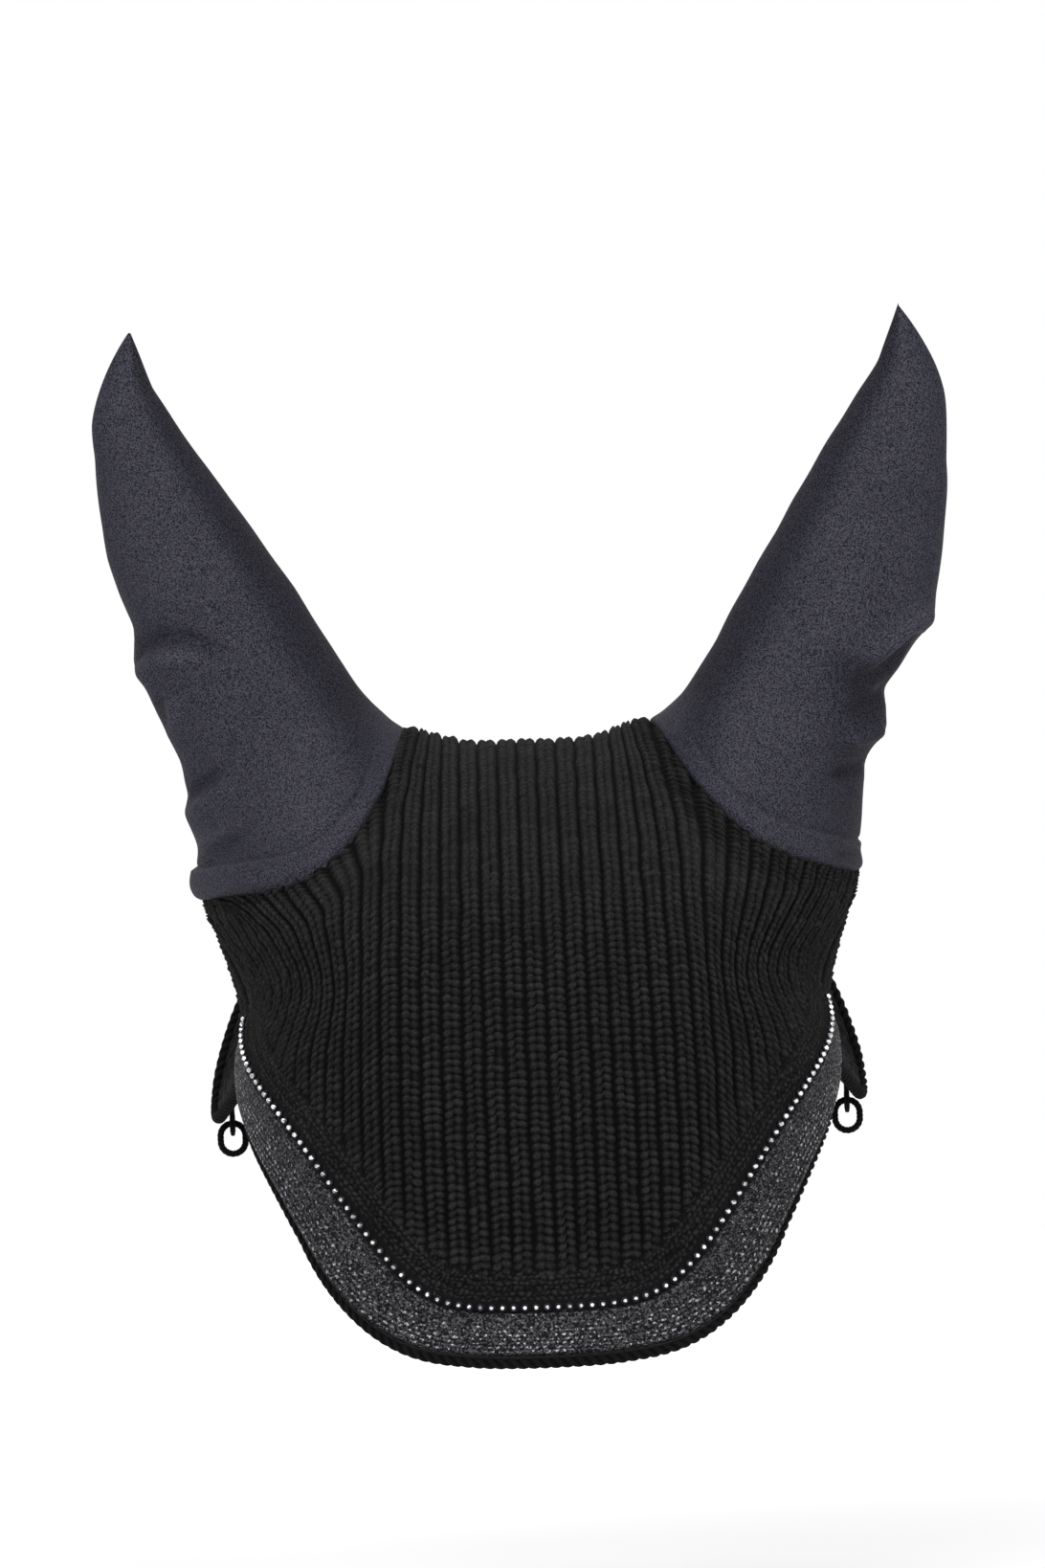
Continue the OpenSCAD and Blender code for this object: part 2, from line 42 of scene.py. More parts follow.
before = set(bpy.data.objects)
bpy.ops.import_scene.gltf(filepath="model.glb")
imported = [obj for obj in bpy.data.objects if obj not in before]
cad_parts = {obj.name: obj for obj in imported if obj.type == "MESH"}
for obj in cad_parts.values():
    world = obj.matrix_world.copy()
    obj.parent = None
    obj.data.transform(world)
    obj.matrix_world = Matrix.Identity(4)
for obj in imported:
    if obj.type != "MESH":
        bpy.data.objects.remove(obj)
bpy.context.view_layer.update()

# The form, in millimetres and degrees, as the part's source gives it
HEAD_DEPTH, HEAD_DROP, POLL_DEPTH, POLL_DROP, POLL_CUT = 150, 170, 55, 60, 148
BROW_RADIUS, POLL_RADIUS, BROW_HALF, POLL_HALF = 150, 400, 45, 48
BROW_SIDE, POLL_SIDE, TILT_FROM, WING_TURN = 75, 85, 27, 98
EAR_LIFT, LIFT_SPAN, LIFT_ANGLE = 8, 15, 24
WAIST_IN, WAIST_Z, WAIST_SPAN, WAIST_FROM, WAIST_FULL = 10, -80, 18, 55, 100
CHEEK_OUT, CHEEK_Z, CHEEK_SPAN = 3, -50, 14
KNIT_T, CLOTH_T = 3.5, 1.5
HEM_LOW, HEM_CORNER, HEM_RISE, HEM_RELAX = 191, 43, 1.4, 0.75
CORNER_EASE, TURN_AT, TURN_EASE, HEM_EASE, EASE_FROM, EASE_SPAN = 7.5, 89, 10, 0.66, 25, 45
TRIM_HALF, BORDER_W, BAND_W, BAND_T, TAPE_W = 148, 14, 22, 1, 4.8
BAND_TOP = -TAPE_W / 2 - 0.4
EDGE_W = BAND_W - BAND_TOP + 0.3
STONE_PITCH, CUP_D, CUP_H, STONE_H, CUP_LIFT = 3.77, 2.7, 0.7, 0.9, 1.35
CORD_D, CORD_LAY, RIM_LAY, SEAM_D, SEAM_LAY = 4, 0.35, 1.1, 2, 0.6
RING_MID, RING_HALF, RING_FRONT, RING_BACK = 87.5, 44.5, 34, 29
POLL_W = RING_MID - RING_HALF
EAR_LEN, EAR_CUT_H, EAR_FLARE, EAR_REACH, EAR_DEEP = 160, 148, 0.25, 38, 33
EAR_REACH_H, EAR_DEEP_H = 27, 60
WING_TIP, BACK_PULL = np.array([116, 8, -126]), np.array([98, 52, -50])
Q_TRIM, Q_TIP, Q_BACK, MEET, WING_TUCK = 0.16, 0.42, 0.58, 0.3, 7
TAB_HOLE, TAB_TOP = np.array([109.234, 6.642, -128.656]), -121.16
TAB_W, TAB_T, TAB_HOLE_D = 9, 1.6, 4.4
LOOP_D, LOOP_R, LOOP_SIDE = 2.4, 4.4, 2
DEG = 180 / np.pi
TURN = 2 * np.pi


def linear(hex_colour):
    """An sRGB hex colour as linear red, green and blue."""
    parts = [int(hex_colour[i:i + 2], 16) / 255 for i in (1, 3, 5)]
    return tuple(c / 12.92 if c <= 0.04045 else ((c + 0.055) / 1.055) ** 2.4 for c in parts)


def cosd(a):
    return np.cos(np.asarray(a, float) / DEG)


def sind(a):
    return np.sin(np.asarray(a, float) / DEG)


def lerp(a, b, t):
    return a + (b - a) * t


def ramp(t):
    """Smooth step from 0 to 1."""
    t = np.clip(t, 0, 1)
    return t * t * (3 - 2 * t)


def rise(x, start, span):
    """0 up to start, then smoothly up to 1 over the span, which is negative where it rises backwards."""
    return ramp((x - start) / span)


def bell(t):
    return np.exp(-np.square(t))


def soft(t, w):
    """0 below 0 and t above it, rounded over the width w."""
    return w * np.logaddexp(0, np.asarray(t, float) / w)


def step_up(t, w):
    """Slope of soft."""
    return 1 / (1 + np.exp(-np.asarray(t, float) / w))


def unit(v):
    return v / np.maximum(np.linalg.norm(v, axis=-1, keepdims=True), 1e-9)


def run_along(path):
    """Length of the way down each column of points, to each point."""
    steps = np.linalg.norm(np.diff(path, axis=0), axis=-1)
    return np.concatenate([np.zeros((1, *steps.shape[1:])), np.cumsum(steps, axis=0)])


def wave(t):
    """A row of round bumps, one to a unit of t."""
    return np.abs(np.sin(np.pi * t))


# Head form: s runs round the head, a up the head with 90 at the poll, d below the knit's outer face


def mid_line(a, d):
    """Depth and height of the form's middle line."""
    y = np.where(a < 0, d - HEAD_DEPTH, np.where(a <= 90, d - HEAD_DEPTH, d - POLL_DEPTH) * cosd(a))
    front = np.where(a < 0, a * HEAD_DROP / DEG, (HEAD_DROP - d) * sind(a)) - HEAD_DROP
    return y, KNIT_T + np.where(a <= 90, front, (POLL_DROP - d) * sind(a) - POLL_DROP)


def angle_at(z):
    up = (np.asarray(z, float) - KNIT_T + HEAD_DROP) / HEAD_DROP
    return np.where(up < 0, up, np.arcsin(np.clip(up, -1, 1))) * DEG


def form(s, a, d):
    s, a, d = np.broadcast_arrays(np.asarray(s, float), np.asarray(a, float), np.asarray(d, float))
    n, up = np.abs(s), np.clip(a / 90, 0, 1)
    mid_r, half = lerp(BROW_RADIUS, POLL_RADIUS, up), lerp(BROW_HALF, POLL_HALF, up)
    side_r = lerp(BROW_SIDE, POLL_SIDE, up)
    m = half / mid_r * DEG
    full = m + (n - half) / side_r * DEG
    t = np.minimum(WING_TURN, full)
    over = np.maximum(0, full - WING_TURN) / DEG * side_r
    r, q = mid_r - d, side_r - d
    middle, turn = n <= half, n / mid_r * DEG
    side_across = r * sind(m) + q * (sind(t) - sind(m)) + over * cosd(WING_TURN)
    side_back = r * (1 - cosd(m)) + q * (cosd(m) - cosd(t)) + over * sind(WING_TURN)
    across = np.where(middle, r * sind(turn), side_across)
    back = np.where(middle, r * (1 - cosd(turn)), side_back)
    tilt = 90 * np.clip((a - TILT_FROM) / (90 - TILT_FROM), 0, 1)
    y, z = mid_line(a, d)
    z = z - back * sind(tilt) + EAR_LIFT * bell((n - POLL_W) / LIFT_SPAN) * bell((a - 90) / LIFT_ANGLE)
    out = CHEEK_OUT * bell((z - CHEEK_Z) / CHEEK_SPAN) - WAIST_IN * bell((z - WAIST_Z) / WAIST_SPAN)
    x = across + out * rise(across, WAIST_FROM, WAIST_FULL - WAIST_FROM)
    return np.stack([np.where(s < 0, -x, x), y + back * cosd(tilt), z], -1)


def hem_z(s):
    return -HEM_LOW + HEM_RISE * soft(s - HEM_CORNER, CORNER_EASE) - HEM_RELAX * soft(s - TURN_AT, TURN_EASE)


def hem_slope(n):
    return HEM_RISE * step_up(n - HEM_CORNER, CORNER_EASE) - HEM_RELAX * step_up(n - TURN_AT, TURN_EASE)


def hem_place(s, w):
    """Place on the form, w above the stone row at s."""
    n = np.abs(s)
    slope = hem_slope(n)
    long = np.sqrt(1 + slope * slope)
    share = lerp(HEM_EASE, 1, rise(n, EASE_FROM, EASE_SPAN))
    w = np.where(w > 0, w, np.maximum(w, -EDGE_W) * share + np.minimum(0, w + EDGE_W))
    return np.sign(s) * (n - w * slope / long), angle_at(hem_z(n) + w / long)


def hem_point(s, w, d):
    return form(*hem_place(np.asarray(s, float), np.asarray(w, float)), d)


def hem_even(step):
    """Places s that are an even step apart along the stone row, end to end, and the row's length."""
    s = np.linspace(-TRIM_HALF, TRIM_HALF, 900)
    run = run_along(hem_point(s, 0, 0))
    return np.interp(np.linspace(0, run[-1], int(run[-1] / step) + 1), run, s), run[-1]


def ring_place(t, inset):
    """Place on the form of the ear opening's edge, at t round it."""
    up = sind(t)
    reach = np.where(up < 0, RING_FRONT - inset / 2, RING_BACK - inset)
    return RING_MID + (RING_HALF - inset) * cosd(t), 90 + reach * up


def ring_point(t, d, inset=0.0):
    return form(*ring_place(t, inset), d)


def poll_down(s):
    """Direction down the back of the poll at its cut edge."""
    return unit(form(s, POLL_CUT + 1, 0) - form(s, POLL_CUT - 1, 0))


# Cheek: q runs round it from the forehead to the poll, v from the ear opening out to the edge

TRIM_END = hem_point(TRIM_HALF, -EDGE_W, 0)
POLL_END = form(POLL_W, POLL_CUT, 0)
TRIM_IN = unit(hem_point(TRIM_HALF, -EDGE_W, 1) - TRIM_END)
POLL_IN = unit(form(POLL_W, POLL_CUT, 1) - POLL_END)
TIP_FROM, TIP_TO = lerp(TRIM_END, WING_TIP, 0.75), lerp(WING_TIP, BACK_PULL, 0.2)


def bend(a, b, c, t):
    """A curve from a to c that is drawn towards b."""
    return lerp(lerp(a, b, t), lerp(b, c, t), t)


def rim_point(q, d):
    q, d = np.asarray(q, float)[..., None], np.asarray(d, float)
    flat = hem_point(TRIM_HALF, lerp(BORDER_W, -EDGE_W, np.clip(q[..., 0] / Q_TRIM, 0, 1)), d)
    d = d[..., None]
    wing = lerp(TRIM_END, TIP_FROM, (q - Q_TRIM) / (Q_TIP - Q_TRIM))
    tip = bend(TIP_FROM, WING_TIP, TIP_TO, np.clip((q - Q_TIP) / (Q_BACK - Q_TIP), 0, 1))
    rear = bend(TIP_TO, BACK_PULL, POLL_END, np.clip((q - Q_BACK) / (1 - Q_BACK), 0, 1))
    inward = unit(lerp(TRIM_IN, POLL_IN, rise(q, Q_TRIM, 1 - Q_TRIM)))
    line = np.where(q < Q_TIP, wing, np.where(q < Q_BACK, tip, rear)) + d * inward
    return np.where(q <= Q_TRIM, flat, line)


def cheek_point(q, v, d):
    q, v, d = np.broadcast_arrays(np.asarray(q, float), np.asarray(v, float), np.asarray(d, float))

    def plain(q):
        return lerp(ring_point(180 * q, d), rim_point(q, d), v[..., None])

    near, far = ramp(1 - q / MEET), ramp(1 - (1 - q) / MEET)
    low, top = hem_place(TRIM_HALF, BORDER_W), ring_place(360, 0)
    side = form(lerp(top[0], low[0], v), lerp(top[1], low[1], v), d) - plain(q * 0)
    back = form(POLL_W, lerp(90, POLL_CUT, v), d) - plain(q * 0 + 1)
    tuck = WING_TUCK * sind(180 * v) * (1 - near) * (1 - far)
    out = plain(q) + near[..., None] * side + far[..., None] * back
    out[..., 0] -= tuck
    return out


# Ear: sections square to its leaning axis, h down from the tip

OUT_LEAN, FORE_LEAN = 18, 6
EAR_FOOT = np.array([87.0, -20, 0])
EAR_SIDE = np.array([cosd(OUT_LEAN), 0, -sind(OUT_LEAN)])
EAR_UP = np.array([sind(OUT_LEAN) * cosd(FORE_LEAN), -sind(FORE_LEAN), cosd(OUT_LEAN) * cosd(FORE_LEAN)])
EAR_REAR = np.array([sind(OUT_LEAN) * sind(FORE_LEAN), cosd(FORE_LEAN), cosd(OUT_LEAN) * sind(FORE_LEAN)])


def ear_point(t, h):
    t, h = np.broadcast_arrays(np.asarray(t, float), np.asarray(h, float))
    inner, outer = 1 + EAR_FLARE * h, EAR_REACH * (1 - np.exp(-h / EAR_REACH_H))
    side = (outer - inner) / 2 + (outer + inner) / 2 * cosd(t)
    rear = EAR_DEEP * (1 - np.exp(-h / EAR_DEEP_H)) * sind(t)
    axis = EAR_FOOT + EAR_UP * (EAR_LEN - h)[..., None]
    return axis + EAR_SIDE * side[..., None] + EAR_REAR * rear[..., None]


# Meshes: a shape is its points in millimetres and its faces of four corners, of which two may be the same

MIRROR = np.array([-1, 1, 1])


def grid_faces(rows, cols, closed=False):
    j, i = np.mgrid[0:rows - 1, 0:cols - (not closed)]
    n = (i + 1) % cols
    corners = j * cols + i, j * cols + n, (j + 1) * cols + n, (j + 1) * cols + i
    return np.stack(corners, -1).reshape(-1, 4)


def fan_faces(centre, ring):
    """Triangles from a centre point to a ring of points."""
    return np.stack([np.full(len(ring), centre), np.roll(ring, -1), ring, ring], -1)


def on_side(side, points, faces):
    """A shape of the right side, as it is or mirrored to the left."""
    return (points * MIRROR, faces[:, ::-1]) if side == "left" else (points, faces)


def joined(*shapes):
    """Several shapes as one."""
    firsts = np.cumsum([0] + [len(points) for points, _ in shapes])
    faces = [faces + first for (_, faces), first in zip(shapes, firsts)]
    return np.concatenate([points for points, _ in shapes]), np.concatenate(faces)


def hem_sheet(s, w, depth):
    """A sheet along the hem, for places s along it and w across it."""
    return hem_point(s, w[:, None], depth).reshape(-1, 3), grid_faces(len(w), len(s))


def keep_values(mesh, name, values):
    """Keeps a number for each point, which a material reads by its name."""
    mesh.attributes.new(name, "FLOAT", "POINT").data.foreach_set("value", values.astype(np.float32))


def build(name, shape, material, nodes, hollow=None, body="bonnet", smooth=True):
    """Makes one piece from its shape, and puts it on its body in place of its nodes."""
    points, faces = shape
    used, back = np.unique(faces, return_inverse=True)
    corners = back.reshape(faces.shape).tolist()
    corners = [[v for k, v in enumerate(face) if v != face[k - 1]] for face in corners]
    mesh = bpy.data.meshes.new(name)
    mesh.from_pydata((points[used] / 1000).tolist(), [], corners)
    mesh.polygons.foreach_set("use_smooth", np.full(len(corners), smooth))
    if hollow is not None:
        keep_values(mesh, "hollow", np.broadcast_to(hollow, len(points))[used])
    mesh.materials.append(material)
    mesh.update()
    made = bpy.data.objects.new(name, mesh)
    bpy.context.scene.collection.objects.link(made)
    if body:
        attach(made, body)
    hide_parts(*nodes)
    return made


def tube(path, out, radius, lay, strands, depth, around=16, closed=False):
    """A twisted cord along path: strands laid round each other, with lay the length of one turn."""
    ahead = unit(np.roll(path, -1, 0) - np.roll(path, 1, 0) if closed else np.gradient(path, axis=0))
    out = unit(out - ahead * np.sum(out * ahead, -1, keepdims=True))
    side = np.cross(ahead, out)
    run = run_along(path)
    if closed:
        total = run[-1] + np.linalg.norm(path[0] - path[-1])
        lay = total / max(1, round(total / lay))
    turn = np.arange(around) * TURN / around
    strand = np.abs(np.cos(strands / 2 * (turn - TURN * run[:, None] / lay)))
    r = radius * (1 - depth * (1 - strand) ** 1.5)
    spokes = np.cos(turn)[:, None] * out[:, None] + np.sin(turn)[:, None] * side[:, None]
    points = (path[:, None] + r[..., None] * spokes).reshape(-1, 3)
    # hollow is deepest between the strands, where the cord's material paints shade.
    rows, hollow = len(path), (1 - strand).ravel()
    if closed:
        return (points, grid_faces(rows + 1, around, True) % len(points)), hollow
    dome = 0.4 * radius
    ends = [path[0] - ahead[0] * dome, path[-1] + ahead[-1] * dome]
    first, cap = np.arange(around), rows * around
    caps = fan_faces(cap, first), fan_faces(cap + 1, cap - around + first)[:, ::-1]
    faces = np.concatenate([grid_faces(rows, around, True), *caps])
    return (np.concatenate([points, ends]), faces), np.concatenate([hollow, [0.5, 0.5]])


def evenly(path, step):
    """A path at an even step, and each point's share of the way."""
    run = run_along(path)
    at = np.linspace(0, run[-1], int(run[-1] / step) + 1)
    return np.stack([np.interp(at, run, path[:, i]) for i in range(3)], -1), at / run[-1]


# Materials


def node(tree, kind, inputs=None, **settings):
    """Adds a shader node, with its settings, and its values or links by socket."""
    made = tree.nodes.new("ShaderNode" + kind)
    for name, value in settings.items():
        setattr(made, name, value)
    for key, value in (inputs or {}).items():
        if isinstance(value, bpy.types.NodeSocket):
            tree.links.new(value, made.inputs[key])
        else:
            made.inputs[key].default_value = value
    return made


def blank(name):
    material = bpy.data.materials.new(name)
    material.use_nodes = True
    material.node_tree.nodes.clear()
    return material, material.node_tree


def per_mm(size):
    """A texture's scale that gives features of this size in millimetres."""
    return 1000 / size


def knit_material(name, top, fibre):
    """Matt cotton yarn, with painted shade between the stitches, lighter where fibres stand up to the light.
    """
    material, tree = blank(name)
    place = node(tree, "TexCoord").outputs["Object"]
    hollow = node(tree, "Attribute", attribute_name="hollow").outputs["Fac"]
    # A real cotton fibre is about 0.02 mm thick; the fuzz is drawn as coarse as fibre says, so that it shows.
    fuzz = node(tree, "TexNoise", {"Vector": place, "Scale": per_mm(fibre), "Detail": 4.0, "Roughness": 0.8})
    patch = node(tree, "TexNoise", {"Vector": place, "Scale": per_mm(18), "Detail": 1.0})
    # Painted shade: each point's hollow number darkens the yarn towards the groove shade colour, most between
    # the ribs and stitches.
    depth = node(tree, "MapRange", {"Value": hollow, "From Min": 0.02, "From Max": 0.6})
    groove = (*colours().groove_shade, 1)
    yarn = node(tree, "Mix", {0: depth.outputs[0], 6: (*top, 1), 7: groove}, data_type="RGBA")
    light = node(tree, "MapRange", {
        "Value": fuzz.outputs["Fac"], "From Min": 0.38, "From Max": 0.62, "To Min": 0.5, "To Max": 1.55})
    wide = node(tree, "MapRange", {
        "Value": patch.outputs["Fac"], "From Min": 0.3, "From Max": 0.7, "To Min": 0.88, "To Max": 1.1})
    both = node(tree, "Math", {0: light.outputs[0], 1: wide.outputs[0]}, operation="MULTIPLY")
    tone = node(tree, "VectorMath", {0: yarn.outputs[2], "Scale": both.outputs[0]}, operation="SCALE")
    bump = node(tree, "Bump", {"Height": fuzz.outputs["Fac"], "Strength": 0.8, "Distance": 0.0005})
    shader = node(tree, "BsdfPrincipled", {
        "Base Color": tone.outputs[0], "Roughness": 0.9, "Specular IOR Level": 0.1,
        "Sheen Weight": 0.02, "Sheen Roughness": 0.4, "Normal": bump.outputs[0]})
    node(tree, "OutputMaterial", {"Surface": shader.outputs[0]})
    return material


def satin_material(name, dark, light):
    """Warp-knit stretch cloth: a fine grain of bright and dull filaments, with painted shade and painted
    highlights set by each point's number.
    """
    material, tree = blank(name)
    place = node(tree, "TexCoord").outputs["Object"]
    # The ears keep their painted shading under the name hollow.
    painted_shading = node(tree, "Attribute", attribute_name="hollow").outputs["Fac"]
    # Real loops of this cloth are about 0.2 mm wide; their grain is drawn at 0.5 mm so that it shows.
    grain = node(tree, "TexNoise", {"Vector": place, "Scale": per_mm(0.5), "Detail": 1.0, "Roughness": 0.7})
    patch = node(tree, "TexNoise", {"Vector": place, "Scale": per_mm(30), "Detail": 1.0})
    share = node(tree, "MapRange", {"Value": grain.outputs["Fac"], "From Min": 0.4, "From Max": 0.6})
    tone = node(tree, "Mix", {0: share.outputs[0], 6: (*dark, 1), 7: (*light, 1)}, data_type="RGBA")
    wide = node(tree, "MapRange", {
        "Value": patch.outputs["Fac"], "From Min": 0.3, "From Max": 0.7, "To Min": 0.93, "To Max": 1.07})
    # Painted shading as a brightness factor: lighter below 0, darker above.
    ear_shading = node(tree, "MapRange", {"Value": painted_shading, "From Min": -1.0, "To Min": 1.5, "To Max": 0.5})
    both = node(tree, "Math", {0: ear_shading.outputs[0], 1: wide.outputs[0]}, operation="MULTIPLY")
    cloth = node(tree, "VectorMath", {0: tone.outputs[2], "Scale": both.outputs[0]}, operation="SCALE")
    rough = node(tree, "MapRange", {
        "Value": grain.outputs["Fac"], "From Min": 0.3, "From Max": 0.7, "To Min": 0.8, "To Max": 0.62})
    bump = node(tree, "Bump", {"Height": grain.outputs["Fac"], "Strength": 0.25, "Distance": 0.0001})
    shader = node(tree, "BsdfPrincipled", {
        "Base Color": cloth.outputs[0], "Roughness": rough.outputs[0], "Specular IOR Level": 0.08,
        "Normal": bump.outputs[0]})
    node(tree, "OutputMaterial", {"Surface": shader.outputs[0]})
    return material


def webbing_material(name, dark, thread, glint):
    """Webbing woven with metal-foil thread: dull black yarn, grey foil, and foil turned to the light."""
    material, tree = blank(name)
    place = node(tree, "TexCoord").outputs["Object"]
    hollow = node(tree, "Attribute", attribute_name="hollow").outputs["Fac"]
    dot = node(tree, "Attribute", attribute_name="glint").outputs["Fac"]
    # Real foil thread is about 0.3 mm wide; its flakes are drawn at 0.6 mm so that they show.
    flake = node(tree, "TexVoronoi", {"Vector": place, "Scale": per_mm(0.6)}, feature="F1")
    pick = node(tree, "SeparateColor", {0: flake.outputs["Color"]})
    foil = node(tree, "MapRange", {"Value": pick.outputs[0], "From Min": 0.45, "From Max": 0.95})
    turned = node(tree, "Math", {0: dot, 1: 0.7, 2: pick.outputs[1]}, operation="MULTIPLY_ADD")
    bright = node(tree, "MapRange", {"Value": turned.outputs[0], "From Min": 0.9, "From Max": 1.1})
    base = node(tree, "Mix", {0: foil.outputs[0], 6: (*dark, 1), 7: (*thread, 1)}, data_type="RGBA")
    lit = node(tree, "Mix", {0: bright.outputs[0], 6: base.outputs[2], 7: (*glint, 1)}, data_type="RGBA")
    # Painted shade: the hollow number darkens the webbing between its ribs and threads and at its edges.
    shade = node(tree, "MapRange", {"Value": hollow, "To Min": 1.0, "To Max": 0.35})
    tone = node(tree, "VectorMath", {0: lit.outputs[2], "Scale": shade.outputs[0]}, operation="SCALE")
    rough = node(tree, "MapRange", {"Value": pick.outputs[2], "To Min": 0.45, "To Max": 0.8})
    bump = node(tree, "Bump", {"Height": pick.outputs[1], "Strength": 0.7, "Distance": 0.0003})
    shader = node(tree, "BsdfPrincipled", {
        "Base Color": tone.outputs[0], "Metallic": bright.outputs[0], "Roughness": rough.outputs[0],
        "Specular IOR Level": 0.1, "Normal": bump.outputs[0]})
    node(tree, "OutputMaterial", {"Surface": shader.outputs[0]})
    return material


def plated_material(name, tint):
    """Gunmetal-plated brass: dark and polished, with a faint cloud from tumbling."""
    material, tree = blank(name)
    place = node(tree, "TexCoord").outputs["Object"]
    cloud = node(tree, "TexNoise", {"Vector": place, "Scale": per_mm(1.5), "Detail": 2.0})
    rough = node(tree, "MapRange", {"Value": cloud.outputs["Fac"], "To Min": 0.1, "To Max": 0.3})
    shader = node(tree, "BsdfPrincipled", {
        "Base Color": (*tint, 1), "Metallic": 1.0, "Roughness": rough.outputs[0]})
    node(tree, "OutputMaterial", {"Surface": shader.outputs[0]})
    return material


def stone_material(name, bright, dull):
    """Cut glass with a foil back: each facet throws back the light whole or hardly at all."""
    material, tree = blank(name)
    place = node(tree, "TexCoord").outputs["Object"]
    facet = node(tree, "TexVoronoi", {"Vector": place, "Scale": per_mm(1.1)}, feature="F1")
    pick = node(tree, "SeparateColor", {0: facet.outputs["Color"]})
    share = node(tree, "MapRange", {"Value": pick.outputs[0], "From Min": 0.55, "From Max": 0.75})
    tone = node(tree, "Mix", {0: share.outputs[0], 6: (*bright, 1), 7: (*dull, 1)}, data_type="RGBA")
    shader = node(tree, "BsdfPrincipled", {
        "Base Color": tone.outputs[2], "Metallic": 0.9, "Roughness": 0.06,
        "Coat Weight": 1.0, "Coat Roughness": 0.02})
    node(tree, "OutputMaterial", {"Surface": shader.outputs[0]})
    return material


def paper_material(name, tint):
    """Matt white backdrop paper that brightens to the white of the surroundings away from the object."""
    material, tree = blank(name)
    ray = node(tree, "LightPath").outputs
    seen = node(tree, "Math", {0: ray["Is Camera Ray"], 1: ray["Is Glossy Ray"]}, operation="ADD")
    place = node(tree, "TexCoord").outputs["Object"]
    away = node(tree, "VectorMath", {0: place}, operation="LENGTH")
    fade = node(tree, "MapRange", {
        "Value": away.outputs["Value"], "From Min": 0.4, "From Max": 1.3, "To Min": 0.66, "To Max": 1.0})
    glow = node(tree, "Math", {0: seen.outputs[0], 1: fade.outputs[0]}, operation="MULTIPLY")
    paper = node(tree, "BsdfDiffuse", {"Color": (*tint, 1)})
    light = node(tree, "Emission", {"Strength": glow.outputs[0]})
    both = node(tree, "AddShader", {0: paper.outputs[0], 1: light.outputs[0]})
    node(tree, "OutputMaterial", {"Surface": both.outputs[0]})
    return material


# What a user would change


def length(name, description, default):
    return bpy.props.FloatProperty(
        name=name, description=description, default=default, min=0, unit="LENGTH", precision=5)


def colour(name, description, default):
    return bpy.props.FloatVectorProperty(
        name=name, description=description, default=linear(default), subtype="COLOR", min=0, max=1)


class BonnetSizes(bpy.types.PropertyGroup):
    """Sizes of the knit, the trim and the cloth."""
    rib_pitch: length("Rib pitch", "Distance between ribs of the knit", 0.00715)
    rib_depth: length("Rib depth", "Depth of the groove between ribs", 0.0024)
    stitch_low: length("Stitch at the hem", "Height of a stitch near the hem", 0.00285)
    stitch_high: length("Stitch at the poll", "Height of a stitch near the poll", 0.0031)
    leg_relief: length("Stitch relief", "How far a stitch's leg stands out of the hollow beside it", 0.0011)
    border_stitch: length("Border stitch", "Distance between stitches of the plain border", 0.0024)
    webbing_rib: length("Webbing rib", "Distance between lengthwise ribs of the webbing", 0.0021)
    cord_lump: length("Cord lump", "Distance between lumps of the edge cord", 0.0038)
    ear_hem: length("Ear hem", "Distance from the ear's seam to the ridge of the hem folded inside", 0.0120)


class BonnetColours(bpy.types.PropertyGroup):
    """Colours of the yarns, the cloth and the trim."""
    knit: colour("Knit", "Top of a stitch", "#323233")
    # Painted shade: the colour the knit takes deep in its grooves.
    groove_shade: colour("Knit groove shade", "Between the ribs", "#0b0b0c")
    border: colour("Border", "Plain knit border", "#3d3d3e")
    cord: colour("Cord", "Edge cord and tie loops", "#1d1d1e")
    cloth_dull: colour("Ear cloth, dull", "Dull filaments of the ear cloth", "#212129")
    cloth_bright: colour("Ear cloth, bright", "Bright filaments of the ear cloth", "#5b5a67")
    webbing: colour("Webbing", "Yarn of the webbing", "#17171a")
    foil: colour("Foil", "Foil thread of the webbing", "#737378")
    glint: colour("Glint", "Foil thread turned to the light", "#b2b2b8")
    cup: colour("Cup", "Plating of the stones' cups", "#2b2c30")
    stone: colour("Stone", "Bright facets of the stones", "#f4f6fa")
    stone_dull: colour("Stone, dull", "Dull facets of the stones", "#8f9298")


def mm(value):
    return value * 1000


def sizes():
    return bpy.context.scene.bonnet_sizes


def colours():
    return bpy.context.scene.bonnet_colours


# Rib knit: shares of a rib's width where its columns of points stand, on the outer and the inner face
RIB_SHARES = np.array([-0.5, -0.41, -0.25, -0.1, 0, 0.1, 0.25, 0.41])
INNER_SHARES = np.array([-0.5, -0.25, 0, 0.25])
LEG_SLANT, LEG_ROWS = 0.5, 4
KNIT_FUZZ, CORD_FUZZ, TAPE_FUZZ = 1.1, 0.35, 0.4


def rib_height(u):
    """Section of a rib, 1 on top of its two columns of legs, lower between them and 0 in the groove."""
    return np.interp(np.abs(u), (0, 0.1, 0.25, 0.41, 0.5), (0.62, 0.86, 1, 0.6, 0))


def drift(a, b, seed):
    """Slow unevenness of hand-guided knitting, about -1 to 1."""
    rng = np.random.default_rng(seed)
    total = 0
    for _ in range(5):
        k = rng.uniform(0.012, 0.05, 2) * rng.choice([-1, 1], 2)
        total = total + np.sin(TURN * (k[0] * a + k[1] * b) + rng.uniform(0, 6.28))
    return total / 3


def stitch_rows(points, pitch):
    """Stitches counted down each column of points, from the column's first point."""
    steps = np.linalg.norm(np.diff(points, axis=0), axis=-1)
    mid = (pitch[1:] + pitch[:-1]) / 2
    return np.concatenate([np.zeros((1, points.shape[1])), np.cumsum(steps / mid, axis=0)])


def leg_columns(u):
    """Number of the column of legs, two to a rib, for each column of points."""
    return np.arange(len(u)) // (len(RIB_SHARES) // 2)


